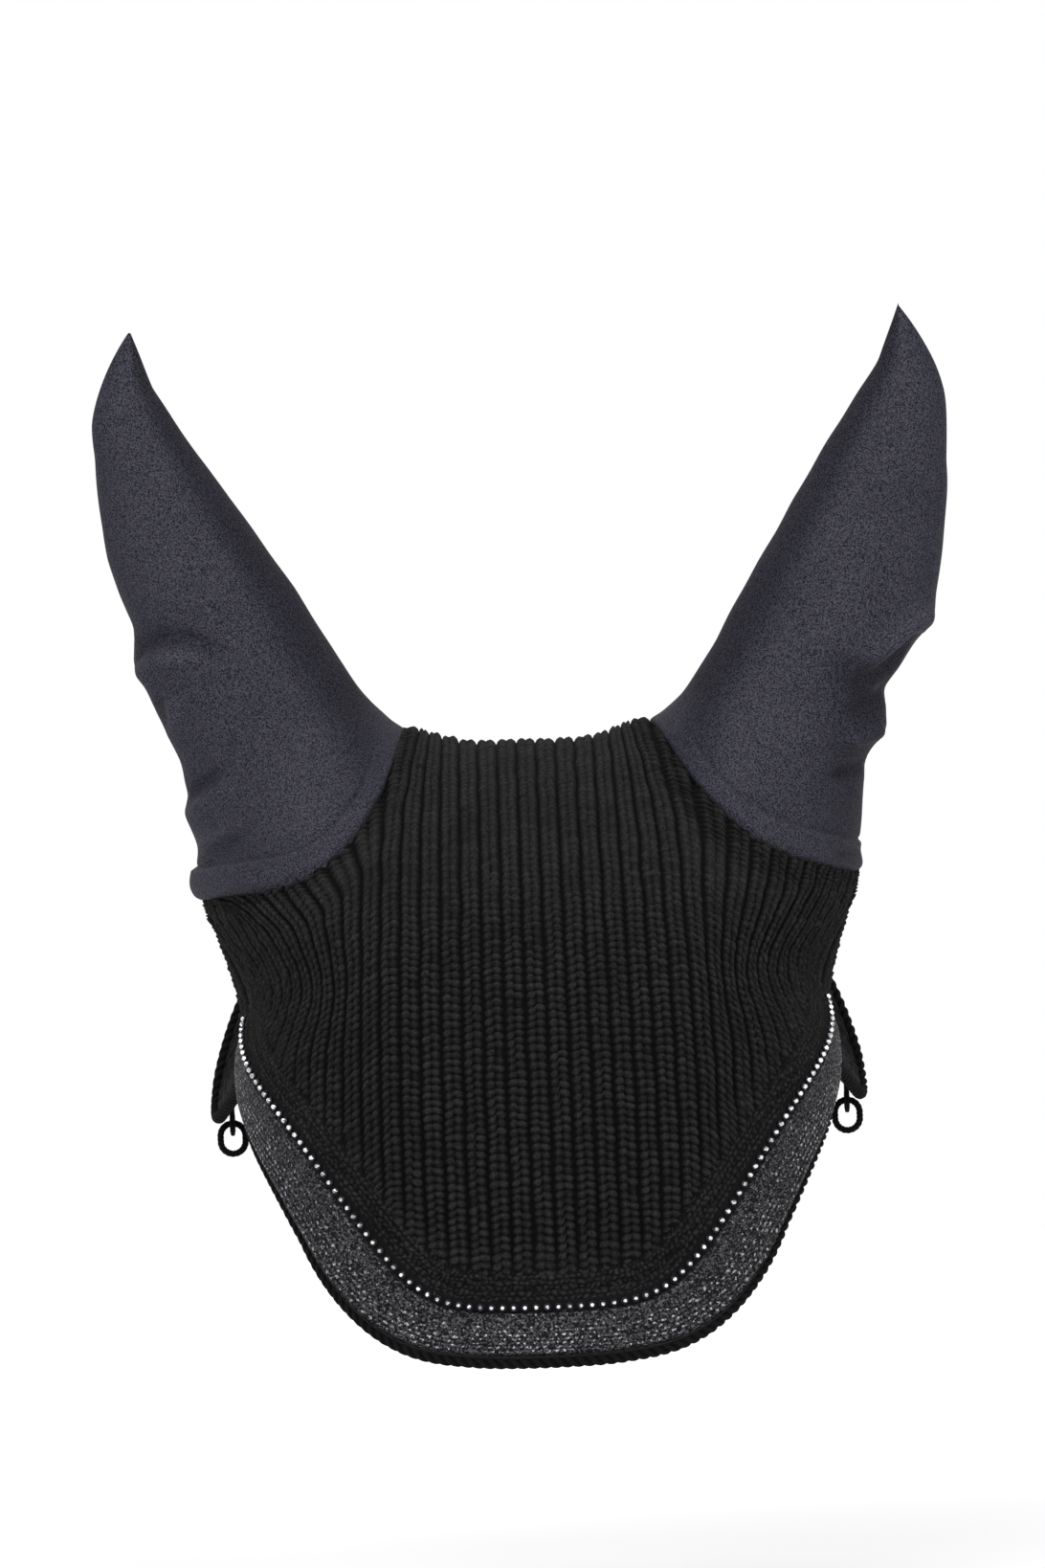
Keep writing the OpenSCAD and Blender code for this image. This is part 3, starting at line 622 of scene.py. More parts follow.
def slips(rows, u, seed):
    """How far, in stitches, each column of legs has slipped at each row."""
    rng = np.random.default_rng(seed)
    column = leg_columns(u)
    spans = (9, 21), (0, 6.28), (-0.25, 0.25)
    period, start, slip = (rng.uniform(*span, column.max() + 1)[column] for span in spans)
    return slip + 0.22 * np.sin(TURN * rows[:, None] / period + start)


def rib_depths(j, u, groove, relief, seed):
    """Depth below the outer face for rows j of the legs and columns u within their ribs."""
    rng = np.random.default_rng(seed)
    leg = np.sin(np.pi * (j % LEG_ROWS) / LEG_ROWS)[:, None]
    on_leg = rise(np.abs(u), 0.53, -0.14)
    column = leg_columns(u)
    uneven = rng.normal(0, 0.22, (j.max() // LEG_ROWS + 1, column.max() + 1))
    uneven = uneven[(j // LEG_ROWS)[:, None], column]
    return groove * (1 - rib_height(u)) + on_leg * (relief * (1 - leg) + uneven * leg)


def inner_face(u, like):
    """Depth and shade of the knit's inner face, whose ribs stand behind the grooves of the outer one."""
    hollow = 1 - rib_height(np.abs(u) - 0.5) + 0 * like
    return KNIT_T + 0.1 - hollow, hollow


# Crown: pairs are where a change starts and how far it takes, in millimetres round or degrees up the head
KNIT_TOP, KNIT_END, DEGREE_MM, OFF = 148.5, -8, 2.6, 999
SQUEEZE, SQUEEZE_FROM, SQUEEZE_EASE, SQUEEZE_UP, SQUEEZE_PAST = 0.5, 32, 4, (50, 38), (60, 22)
LEFT_BEND, LEFT_BEND_SPAN, RIGHT_BEND, RIGHT_BEND_SPAN = 15, 13, 8, 24
BEND_FROM, BEND_PAST = (46, 26), (104, 34)
SPREAD_LOW, SPREAD_HIGH, SPREAD_UP = 1.045, 0.965, (5, 60)
UNDER_EAR, UNDER_FRONT, UNDER_BACK = 7, 3.5, 2.5
SEAM_LAP, BORDER_LAP, RIM_TUCK = 1.5, 4, 1.7


class BONNET_OT_crown_knit(bpy.types.Operator):
    """Builds the ribbed knit of the forehead and the poll"""
    bl_idname = "bonnet.crown_knit"
    bl_label = "Crown knit"

    @staticmethod
    def rib_s(q, a):
        """Where a rib that starts at q on the hem lies at angle a: close between the ears, bent below."""
        n = np.abs(q)
        squeeze = SQUEEZE * soft(n - SQUEEZE_FROM, SQUEEZE_EASE)
        squeeze = squeeze * rise(a, *SQUEEZE_UP) * (1 - rise(n, *SQUEEZE_PAST))
        edge = 90 - RING_FRONT * np.sqrt(np.clip(1 - ((n - RING_MID) / RING_HALF) ** 2, 0, 1))
        left = LEFT_BEND * soft(1 - (edge - a) / LEFT_BEND_SPAN, 0.04)
        right = RIGHT_BEND * np.clip(1 - (edge - a) / RIGHT_BEND_SPAN, 0, 2) ** 1.5
        aside = np.where(q < 0, left, right) * rise(n, *BEND_FROM) * (1 - rise(n, *BEND_PAST))
        spread = lerp(SPREAD_LOW, SPREAD_HIGH, rise(a, *SPREAD_UP))
        return np.sign(q) * (n * spread - squeeze + aside) + 0.2 * drift(q, a * DEGREE_MM, 4)

    def sheet(self, shares, per, inner):
        """One face of the knit, with per rows of points to a stitch, and its shade."""
        size = sizes()
        pitch = mm(size.rib_pitch)
        ribs = int(TRIM_HALF / pitch) + 1
        c = (np.arange(-ribs, ribs + 1)[:, None] + shares).ravel()
        u = np.tile(shares, 2 * ribs + 1)
        a = np.linspace(KNIT_TOP, KNIT_END, 330)
        base = form(self.rib_s(c * pitch, a[:, None]), a[:, None], 0)
        high = rise(base[..., 2], -150, 120)
        count = stitch_rows(base, lerp(mm(size.stitch_low), mm(size.stitch_high), high))
        poll = np.array([np.interp(-90, -a, column) for column in count.T])
        count = count - poll + np.ceil(poll.max()) + 2
        j = np.arange(0, int(count.max() * per))
        at = j[:, None] / per + LEG_SLANT * np.abs(u) + (0 if inner else slips(j / per, u, 12))
        angle = np.stack([np.interp(*pair, a, left=OFF, right=-OFF) for pair in zip(at.T, count.T)], 1)
        keep = np.abs(angle) < OFF
        angle = np.clip(angle, KNIT_END, KNIT_TOP)
        s = self.rib_s(c * pitch, angle)
        n = np.abs(s)
        above = (mid_line(angle, 0)[1] - hem_z(n)) / np.sqrt(1 + hem_slope(n) ** 2)
        reach = np.where(angle < 90, RING_FRONT - UNDER_FRONT, RING_BACK - UNDER_BACK)
        round_ear = np.hypot((n - RING_MID) / (RING_HALF - UNDER_EAR), (angle - 90) / reach)
        if inner:
            depth, hollow = inner_face(u, angle)
        else:
            groove = mm(size.rib_depth) * lerp(1, 0.8, rise(angle, 62, 28))
            groove = groove * lerp(0.6, 1, rise(above, BORDER_W, 8))
            beads = lerp(0.3, 1.6, rise(round_ear, 1.42, -0.2))
            relief = mm(size.leg_relief) * lerp(1, beads, rise(angle, 30, 25))
            hollow = rib_depths(j, u, groove, relief, 11)
            depth = hollow - 0.45 - 0.3 * drift(s, angle * DEGREE_MM, 9)
            # The hollow, as a share of the rib's depth, also sets the painted shade of the grooves.
            hollow = hollow / mm(size.rib_depth)
        side = hem_place(TRIM_HALF, BORDER_W)
        side_seam = lerp(side[0], RING_MID + RING_HALF, (angle - side[1]) / (90 - side[1]))
        keep &= (above > BORDER_W - BORDER_LAP) & (round_ear > 1) & (n < side_seam + SEAM_LAP)
        keep &= (angle < 90) | (n < POLL_W + SEAM_LAP)
        faces = grid_faces(len(j), len(c))
        faces = faces[keep.ravel()[faces].all(1)]
        return (form(s, angle, depth).reshape(-1, 3), faces[:, ::-1 if inner else 1]), hollow.ravel()

    def execute(self, context):
        outer, outer_hollow = self.sheet(RIB_SHARES, LEG_ROWS, False)
        inner, inner_hollow = self.sheet(INNER_SHARES, 1, True)
        s = np.linspace(-POLL_W, POLL_W, 120)
        past = form(s, POLL_CUT, KNIT_T / 2) + RIM_TUCK * poll_down(s)
        rim = np.concatenate([form(s, POLL_CUT, 0.3), past, form(s, POLL_CUT, KNIT_T - 0.3)])
        points, faces = joined(outer, inner, (rim, grid_faces(3, len(s))[:, ::-1]))
        hollow = np.concatenate([outer_hollow, inner_hollow, np.full(len(rim), 0.5)])
        yarn = knit_material("Black cotton rib knit", colours().knit, KNIT_FUZZ)
        nodes = "forehead_panel", "poll_panel"
        made = build("crown_knit", (points, faces[:, ::-1]), yarn, nodes, hollow)
        return {"FINISHED"}


WING_STITCHES, WING_RIM_TUCK = 30, 3.0


class BONNET_OT_cheek_knit(bpy.types.Operator):
    """Builds the ribbed knit of both wings, below and behind the ears"""
    bl_idname = "bonnet.cheek_knit"
    bl_label = "Cheek knit"

    def sheet(self, shares, per, inner):
        """One face of the right wing's knit, with per rows of points to a stitch, and its shade."""
        size = sizes()
        q = np.linspace(0, 1, 600)
        run = run_along(cheek_point(q, 0.5, 0)) / mm(size.rib_pitch)
        ribs = int(np.floor(run[-1]))
        c = np.concatenate([(np.arange(ribs)[:, None] + 0.5 + shares).ravel(), [ribs]])
        u = c - np.floor(c) - 0.5
        columns = np.interp(c * run[-1] / ribs, run, q)
        j = np.arange(0, WING_STITCHES * per + 1)
        share = j[:, None] / (per * WING_STITCHES)
        slant = LEG_SLANT / WING_STITCHES * (np.abs(u) - 0.25) * (1 - np.abs(2 * share - 1) ** 8)
        v = np.clip(share + slant, 0, 1)
        if inner:
            depth, hollow = inner_face(u, v)
        else:
            hollow = rib_depths(j, u, mm(size.rib_depth), 0.6 * mm(size.leg_relief), 23)
            depth = hollow - 0.4
            # The hollow, as a share of the rib's depth, also sets the painted shade of the grooves.
            hollow = hollow / mm(size.rib_depth)
        mid = KNIT_T / 2
        width = np.linalg.norm(rim_point(columns, mid) - ring_point(180 * columns, mid), axis=-1)
        v = np.vstack([v, 1 + WING_RIM_TUCK / width])
        depth = np.vstack([depth, np.full(len(c), mid)])
        hollow = np.vstack([hollow, np.full(len(c), 0.5)])
        faces = grid_faces(len(v), len(c))[:, ::-1 if inner else 1]
        return (cheek_point(columns, v, depth).reshape(-1, 3), faces), hollow.ravel()

    def execute(self, context):
        outer, outer_hollow = self.sheet(RIB_SHARES, LEG_ROWS, False)
        inner, inner_hollow = self.sheet(INNER_SHARES, 1, True)
        hollow = np.concatenate([outer_hollow, inner_hollow])
        yarn = knit_material("Black cotton rib knit, wings", colours().knit, KNIT_FUZZ)
        for side in ("right", "left"):
            shape = on_side(side, *joined(outer, inner))
            made = build(side + "_cheek_knit", shape, yarn, (side + "_cheek_panel",), hollow)
        return {"FINISHED"}


BORDER_ROW, BORDER_PATCH, EDGE_TUCK = 0.78, 4, 1.4


class BONNET_OT_hem_border(bpy.types.Operator):
    """Builds the plain knit border along the hem"""
    bl_idname = "bonnet.hem_border"
    bl_label = "Hem border"

    def execute(self, context):
        stitch = mm(sizes().border_stitch)
        s, run = hem_even(0.5)
        along = np.linspace(0, run, len(s))
        w = np.concatenate([np.arange(-EDGE_W, 1.2, 2.0), np.arange(1.4, 15.0, 0.42)])
        up = w[:, None]
        row = (up + 0.5 * drift(along * 3, up * 6, 15)) / (stitch * BORDER_ROW)
        column = along / stitch + 0.5 * np.floor(row) + 0.3 * drift(along * 2, up * 8, 16)
        bumps = wave(column) ** 0.8 * wave(row) ** 0.8
        rng = np.random.default_rng(6)
        lots = rng.uniform(0.5, 1, (len(w) // BORDER_PATCH + 1, len(s) // BORDER_PATCH + 1))
        bumps = bumps * lots.repeat(BORDER_PATCH, 0).repeat(BORDER_PATCH, 1)[:len(w), :len(s)]
        tuck = 1.5 * rise(up, 11, 4) + 0.15 * bell((up - 6.4) / 0.6)
        hollow = 0.85 * (1 - bumps) + tuck
        outer = hem_sheet(s, w, hollow - 0.8 - 0.2 * drift(along, up * 3, 5))
        s = np.linspace(-TRIM_HALF, TRIM_HALF, 240)
        inner = hem_sheet(s, np.linspace(-EDGE_W, 14.5, 12), KNIT_T)
        edge_depth = np.array([-0.6, 0.8, 2.6, KNIT_T])[:, None]
        edge = hem_sheet(s, -EDGE_W - EDGE_TUCK * np.array([0, 1, 1, 0]), edge_depth)
        backs = [(points, faces[:, ::-1]) for points, faces in (inner, edge)]
        plain = np.full(len(inner[0]) + len(edge[0]), 0.2)
        # Painted shade between the border's stitches, and along its top where it tucks under the ribs.
        shade = np.concatenate([np.clip(hollow / 1.3, 0, 1).ravel(), plain])
        yarn = knit_material("Black cotton plain knit", colours().border, 1.0)
        made = build("hem_border_knit", joined(outer, *backs), yarn, ("hem_border",), shade)
        return {"FINISHED"}


# Webbing: spacing of its threads and glints along it, and its mitre folds by place, lean, height and width
THREAD_STEP, GLINT_STEP, GLINT_R, GLINT_EASE = 1.3, 2.6, 0.85, 0.5
WEBBING_FOLDS = (-46, 0.5, 0.9, 1.6), (-38, 0.3, 0.5, 1.2), (62, -0.5, 0.8, 1.5), (54, -0.35, 0.45, 1.3)


class BONNET_OT_glitter_band(bpy.types.Operator):
    """Builds the webbing with its lengthwise ribs, foil thread and mitre folds"""
    bl_idname = "bonnet.glitter_band"
    bl_label = "Glitter band"

    def execute(self, context):
        hue = colours()
        rib = mm(sizes().webbing_rib)
        s, run = hem_even(0.5)
        along = np.linspace(0, run, len(s)) - run / 2
        w = np.linspace(BAND_TOP - BAND_W, BAND_TOP, 56)
        down = (BAND_TOP - w)[:, None]
        rng = np.random.default_rng(3)
        across = down / rib
        row = np.floor(across).astype(int)
        ridge = lerp(0.75, wave(across) ** 0.8, 0.3 + 0.7 * rise(down, 7, 5))
        thread = wave(along / THREAD_STEP + 0.5 * row)
        folds = 0
        for at, lean, high, wide in WEBBING_FOLDS:
            folds = folds + high * bell((along - at + lean * down) / wide)
        height = 0.42 * ridge * (0.6 + 0.4 * thread) + folds + rng.normal(0, 0.05, folds.shape)
        edge = np.minimum(ramp((w - w[0]) / 0.7), ramp((w[-1] - w) / 0.5))[:, None]
        depth = -0.35 - BAND_T * 0.75 * edge - height * edge
        depth[[0, -1]] = 0.6
        # Painted shade between the ribs and threads, and along both edges of the webbing.
        shade = 1 - np.clip(ridge * (0.5 + 0.5 * thread), 0, 1) * edge ** 2
        foil = webbing_material("Foil-thread webbing", hue.webbing, hue.foil, hue.glint)
        shape = hem_sheet(s, w, depth)
        made = build("glitter_webbing", shape, foil, ("glitter_band",), shade.ravel())
        cell = (along + run) / GLINT_STEP + 0.5 * (row % 2)
        off = np.hypot((cell % 1 - 0.5) * GLINT_STEP, (across % 1 - 0.5) * rib)
        luck = rng.random((row.max() + 1, int(cell.max()) + 1))[row, cell.astype(int)]
        glint = rise(off, GLINT_R, -GLINT_EASE) * lerp(0.1, 1, luck) * lerp(0.25, 1, rise(down, 4, 7))
        keep_values(made.data, "glint", glint.ravel())
        return {"FINISHED"}


# Stone row: the tape's section, the cup's profile and the stone's rings, in millimetres
TAPE_ACROSS = np.array([-2.4, -2.3, -1.2, 0, 1.2, 2.3, 2.4])
TAPE_DEPTH = np.array([0.4, -0.5, -0.75, -0.75, -0.75, -0.5, 0.4])
CUP_PROFILE = (0.9, 0), (1.25, 0.03), (CUP_D / 2, 0.3), (1.33, CUP_H), (1.2, CUP_H + 0.12), (1.05, CUP_H)
STONE_RINGS = (0.6, STONE_H, 0), (0.8, STONE_H * 0.62, np.pi / 8), (0.95, 0, 0)
STONE_SET, STONE_TILT, CUP_SIDES, FACETS = 0.1, 0.045, 16, 8


class BONNET_OT_stone_row(bpy.types.Operator):
    """Builds the tape, the cups and the cut stones of the row above the webbing"""
    bl_idname = "bonnet.stone_row"
    bl_label = "Stone row"

    @staticmethod
    def rings(profile, sides):
        """Rings of points about z, each by its radius, its height and its turn."""
        a = np.arange(sides) * TURN / sides
        return np.concatenate([
            np.stack([r * np.cos(a + turn), r * np.sin(a + turn), np.full(sides, z)], -1)
            for r, z, turn in profile])

    def cup(self):
        profile = [(r, z, 0) for r, z in CUP_PROFILE]
        return self.rings(profile, CUP_SIDES), grid_faces(len(profile), CUP_SIDES, True)

    def stone(self):
        """A brilliant cut: table, eight star facets, eight kites and the girdle."""
        points = np.concatenate([self.rings(STONE_RINGS, FACETS), [[0, 0, STONE_H]]])
        i = np.arange(FACETS)
        n, p = np.roll(i, -1), np.roll(i, 1)
        mid, low = FACETS, 2 * FACETS
        corners = ((0 * i + 3 * FACETS, i, n, n), (i, mid + i, n, n),
                   (i, mid + p, low + i, mid + i), (mid + i, low + i, low + n, low + n))
        return points, np.concatenate([np.stack(face, -1) for face in corners])

    def execute(self, context):
        hue = colours()
        s, run = hem_even(1.0)
        cloth = knit_material("Black stone tape", hue.cord, TAPE_FUZZ)
        tape = hem_sheet(s, TAPE_ACROSS, TAPE_DEPTH[:, None])
        build("stone_tape", tape, cloth, ("crystal_tape",), 0.2)
        count = int((TRIM_HALF - CUP_D) / STONE_PITCH / (2 * TRIM_HALF / run))
        even = np.linspace(-run / 2, run / 2, len(s))
        at = np.interp(np.arange(-count, count + 1) * STONE_PITCH, even, s)
        here, out = hem_point(at, 0, 0), unit(hem_point(at, 0, -1) - hem_point(at, 0, 0))
        cup, stone = self.cup(), self.stone()
        rng = np.random.default_rng(8)
        cups, stones = [], []
        for p, z in zip(here, out):
            tilt = unit(z + rng.normal(0, STONE_TILT, 3))
            x = unit(np.cross([0, 0, 1.0], tilt))
            turn = rng.uniform(0, TURN)
            basis = np.stack([x, np.cross(tilt, x), tilt])
            spin = np.array([[np.cos(turn), np.sin(turn), 0], [-np.sin(turn), np.cos(turn), 0], [0, 0, 1]])
            cups.append((cup[0] @ basis + p + z * CUP_LIFT, cup[1]))
            stones.append((stone[0] @ spin @ basis + p + z * (CUP_LIFT + CUP_H + STONE_SET), stone[1]))
        brass = plated_material("Gunmetal-plated brass", hue.cup)
        glass = stone_material("Foil-backed cut glass", hue.stone, hue.stone_dull)
        build("stone_cups", joined(*cups), brass, ("crystal_cups",))
        build("cut_stones", joined(*stones), glass, ("crystals",), smooth=False)
        return {"FINISHED"}


CORD_STRANDS, CORD_GROOVE, CORD_SHADE, POLL_JOIN = 3, 0.42, 0.9, 6


class BONNET_OT_edge_cords(bpy.types.Operator):
    """Builds the twisted cords along the hem, the wings and the back of the poll"""
    bl_idname = "bonnet.edge_cords"
    bl_label = "Edge cords"

    @staticmethod
    def back_line():
        """The back cord's path from wing tip to wing tip, and the direction off the knit."""
        q = np.linspace(Q_TRIM + 0.03, 1, 260)
        rim = rim_point(q, KNIT_T / 2)
        along = unit(np.gradient(rim, axis=0))
        reach = rim - cheek_point(q, 0.8, KNIT_T / 2)
        side = unit(reach - along * np.sum(reach * along, -1, keepdims=True))
        right = rim + side * (CORD_D / 2 + RIM_LAY)
        s = np.linspace(POLL_W - 4, 4 - POLL_W, 40)
        down = poll_down(s)
        middle = form(s, POLL_CUT, KNIT_T / 2) + down * (CORD_D / 2 + RIM_LAY)
        path, sides = (np.concatenate([wing[:-POLL_JOIN], poll, (wing * MIRROR)[::-1][POLL_JOIN:]])
                       for wing, poll in ((right, middle), (side, down)))
        path, share = evenly(path, 0.5)
        wide = np.linspace(0, 1, len(sides))
        return path, np.stack([np.interp(share, wide, sides[:, i]) for i in range(3)], -1)

    def execute(self, context):
        yarn = knit_material("Black twisted cord", colours().cord, CORD_FUZZ)
        lay = CORD_STRANDS * mm(sizes().cord_lump)
        s, _ = hem_even(0.45)
        path = hem_point(s, -EDGE_W - CORD_D / 2 - CORD_LAY, KNIT_T / 2)
        out = hem_point(s, -EDGE_W, -1) - hem_point(s, -EDGE_W, 0)
        for name, line, fat in (("hem_cord", (path, out), 1.12), ("back_cord", self.back_line(), 1.1)):
            shape, hollow = tube(*line, CORD_D / 2 * fat, lay, CORD_STRANDS, CORD_GROOVE)
            build(name + "_twist", shape, yarn, (name,), hollow * CORD_SHADE)
        return {"FINISHED"}


# Each ear's outline, in millimetres: at a height, how far its inner and outer edges lie off the plain form
EAR_OUTLINE = {
    "left": (
        ((0, 0), (18, 2.5), (36, 2.6), (60, 1.5), (96, 2.3), (108, 3.3), (132, 3.3), (144, 0), (152, -2)),
        ((-42, 2), (-30, -3.2), (-18, -1.3), (-12, -3.8), (0, -4.7), (18, -2), (30, -1), (36, 0.2),
         (48, -5), (60, -3.3), (72, -2.8), (84, -3.8), (108, -4), (120, -2.2), (152, -1.8)),
    ),
    "right": (
        ((3, 0), (18, 4.6), (36, 5.3), (60, 4.5), (84, 4.1), (108, 4.8), (132, 6), (144, 3.4), (152, 1.5)),
        ((-42, -0.8), (-24, -3), (-6, -4.3), (3, 0.2), (18, -4.4), (24, -0.6), (36, 4.5), (42, 6),
         (60, 4), (96, 0.5), (120, 1.8), (152, 0.5)),
    ),
}
# Folds of each ear's front, in millimetres: height of the fold, its width, and its line across and up
EAR_FOLDS = {
    "left": (
        (-2.7, 3.2, ((-140, 34), (-134, 41), (-126, 44), (-116, 43), (-106, 38), (-97, 32))),
        (2.3, 4.2, ((-138, 29), (-129, 36), (-119, 37), (-108, 32))),
        (2.2, 2.6, ((-124, 23), (-123, 10))),
        (-1.6, 2.6, ((-128, 24), (-127, 9))),
        (-2.5, 2.2, ((-121, -13), (-113, -7), (-104, -2))),
        (1.6, 2.6, ((-119, -18), (-110, -12), (-101, -7))),
        (-1.8, 2.4, ((-116, -36), (-106, -31), (-96, -25))),
        (1.4, 2.6, ((-117, -30), (-107, -25), (-98, -20))),
    ),
    "right": (
        (-4, 3.4, ((142, 36), (134, 29), (124, 21), (113, 16))),
        (3.2, 4.5, ((146, 43), (136, 36), (125, 28), (112, 23))),
        (-2.9, 2.6, ((131, 17), (122, 13), (112, 8))),
        (1.8, 3, ((128, 22), (118, 15))),
        (2.5, 3, ((127, 2), (117, 0), (108, -2))),
        (-2.7, 2.2, ((122, -9), (112, -12), (102, -15))),
        (-1.8, 2.4, ((119, -39), (110, -41), (100, -42))),
    ),
}


def off_line(x, z, line):
    """Distance from a line across and up, and how far along it the nearest point is."""
    best, share = np.full(x.shape, 1e9), np.zeros(x.shape)
    line = np.array(line, float)
    start = run_along(line)
    for a, b, long, run in zip(line[:-1], line[1:], np.diff(start), start):
        t = np.clip(((x - a[0]) * (b[0] - a[0]) + (z - a[1]) * (b[1] - a[1])) / long ** 2, 0, 1)
        d = np.hypot(x - a[0] - t * (b[0] - a[0]), z - a[1] - t * (b[1] - a[1]))
        closer = d < best
        best, share = np.where(closer, d, best), np.where(closer, (run + t * long) / start[-1], share)
    return best, share


# Cloth ears: rows and columns of points, passes that ease the cloth, and what each ear has of its own
EAR_COLS, OUTER_ROWS, INNER_ROWS, TWIST_UP = 180, 230, 110, 26
FOOT_PASSES, EVEN_PASSES = 60, 2
EAR_WELT, EAR_SEED = {"left": 1.5, "right": 1.1}, {"left": 31, "right": 47}


class BONNET_OT_cloth_ears(bpy.types.Operator):
    """Builds each stretch-cloth ear from its seam to its tip, with its own outline and folds"""
    bl_idname = "bonnet.cloth_ears"
    bl_label = "Cloth ears"

    @staticmethod
    def plain(side, t, rows, inset):
        """The ear with its own outline but no folds, tip to foot, and each point's way up from the foot."""
        h = np.concatenate([np.linspace(0.15, 3, 8)[:-1], np.linspace(3, EAR_CUT_H, 90)])
        ear = ear_point(t, h[:, None])
        if side == "left":
            foot_inset = -1 - 2 * ramp(cosd(t)) - 7.5 * bell((t - 257) / 44)
        else:
            foot_inset = -1 - 0.8 * ramp(cosd(t)) + 5.5 * bell((t - 235) / 45)
        share = np.linspace(0, 1, 32)[1:, None, None]
        stack = np.concatenate([ear, lerp(ear[-1], ring_point(t, 1.2, foot_inset), share)])
        run = run_along(stack)
        g = np.concatenate([np.linspace(0, 0.06, 14)[:-1], np.linspace(0.06, 1, rows - 13)])
        g = lerp(0.03, 1, g) if inset else g
        skin = np.empty((rows, EAR_COLS, 3))
        for i, axis in np.ndindex(EAR_COLS, 3):
            skin[:, i, axis] = np.interp(g * run[-1, i], run[:, i], stack[:, i, axis])
        up = (1 - g)[:, None] * run[-1]
        # Eased where the ear runs into its foot, then moved to its outline and evened
        for _ in range(FOOT_PASSES):
            near = 0.5 * bell(((skin - EAR_FOOT) @ EAR_UP - 12) / 26)[1:-1, :, None]
            skin[1:-1] += near * ((skin[:-2] + skin[2:]) / 2 - skin[1:-1])
        inner, outer = (np.interp(skin[..., 2], *np.transpose(edge)) for edge in EAR_OUTLINE[side])
        skin[..., 0] += ramp(up / 8) * lerp(inner, outer, 0.5 + 0.5 * np.sin(np.pi / 2 * cosd(t)))
        for _ in range(EVEN_PASSES):
            skin[2:-2] = lerp(skin[2:-2], (skin[1:-3] + skin[3:-1] + skin[:-4] + skin[4:]) / 4, 0.6)
        return skin, up

    def skin(self, side, rows, inset):
        """One face of the ear with its hem and folds, and its painted shading: painted shade and painted
        highlights for each point.
        """
        t = np.arange(EAR_COLS) * 360 / EAR_COLS
        skin, up = self.plain(side, t, rows, inset)
        around = np.roll(skin, -1, 1) - np.roll(skin, 1, 1)
        normal = unit(np.cross(np.gradient(skin, axis=0), around))
        hem = mm(sizes().ear_hem)
        welt = EAR_WELT[side] * rise(cosd(t), -0.95, 0.4)
        ridge = rise(up, hem + 0.7, -1.2) - 0.5 * bell(up - hem - 1.6) + 0.5 * bell((up - 4.5) / 3.2)
        swell = welt * ridge - 2.2 * bell(up / 1.6)
        x, z = skin[..., 0] * (-1 if side == "left" else 1), skin[..., 2]
        front = rise(normal[..., 1], 0.15, -0.6)
        # Painted shade along the inner edge of each ear.
        painted_shading = 0.9 * rise(-cosd(t), 0.4, 0.4) * ramp(up / 25)
        # Painted highlight along the top of the hem's welt, and painted shade in the groove above it.
        painted_shading = painted_shading - 0.2 * bell(up - hem + 0.6) * welt + 0.3 * bell((up - hem - 1.4) / 0.8) * welt
        # Painted shade on the right ear's outer side, low down.
        if side == "right":
            painted_shading = painted_shading + 0.9 * rise(x, 98, 22) * rise(z, 33, -8)
        for high, wide, line in EAR_FOLDS[side]:
            d, share = off_line(x, z, line)
            ends = ramp(share / 0.2 + 0.35) * ramp((1 - share) / 0.45)
            fold = high * bell(d / wide) * ends * lerp(0.15, 1, front)
            # Painted highlight on each fold's crest and painted shade in its valley.
            swell, painted_shading = swell + fold, painted_shading - 0.25 * fold
        edge_line = bell((cosd(t) - 1) / 0.004) + bell((cosd(t) + 1) / 0.004)
        swell = swell - 0.35 * edge_line * ramp(up / 12)
        uneven = drift(x * 0.8, z * 0.8, EAR_SEED[side])
        swell = swell + 0.35 * uneven * rise(z, 150, -30) * ramp(up / 14)
        return skin + (swell - inset)[..., None] * normal, painted_shading

    def execute(self, context):
        hue = colours()
        cloth = satin_material("Charcoal stretch satin", hue.cloth_dull, hue.cloth_bright)
        ring = np.arange(EAR_COLS)
        for side in ("left", "right"):
            parts, painted_shading = [], []
            for rows, inset, tip in ((OUTER_ROWS, 0, 0.4), (INNER_ROWS, CLOTH_T, -0.6)):
                skin, ear_shading = self.skin(side, rows, inset)
                painted_shading += [ear_shading.ravel(), [0.0]]
                points = np.concatenate([skin.reshape(-1, 3), skin[:1].mean(1) + EAR_UP * tip])
                faces = np.concatenate([grid_faces(rows, EAR_COLS, True), fan_faces(rows * EAR_COLS, ring)])
                parts.append((points, faces[:, ::-1 if inset else 1]))
            points, faces = joined(*parts)
            low = (OUTER_ROWS - 1) * EAR_COLS + ring
            under = len(parts[0][0]) + (INNER_ROWS - 1) * EAR_COLS + ring
            foot = np.stack([low, np.roll(low, -1), np.roll(under, -1), under], -1)
            shape = on_side(side, points, np.concatenate([faces, foot]))
            nodes = side + "_ear_collar", side + "_ear_front", side + "_ear_back"
            made = build(side + "_cloth_ear", shape, cloth, nodes, np.concatenate(painted_shading), None)
            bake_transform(made)
        return {"FINISHED"}


SEAM_FUZZ, SEAM_TWIST, SEAM_STRANDS, SEAM_GROOVE, SEAM_SIDES = 0.3, 1.8, 2, 0.3, 10


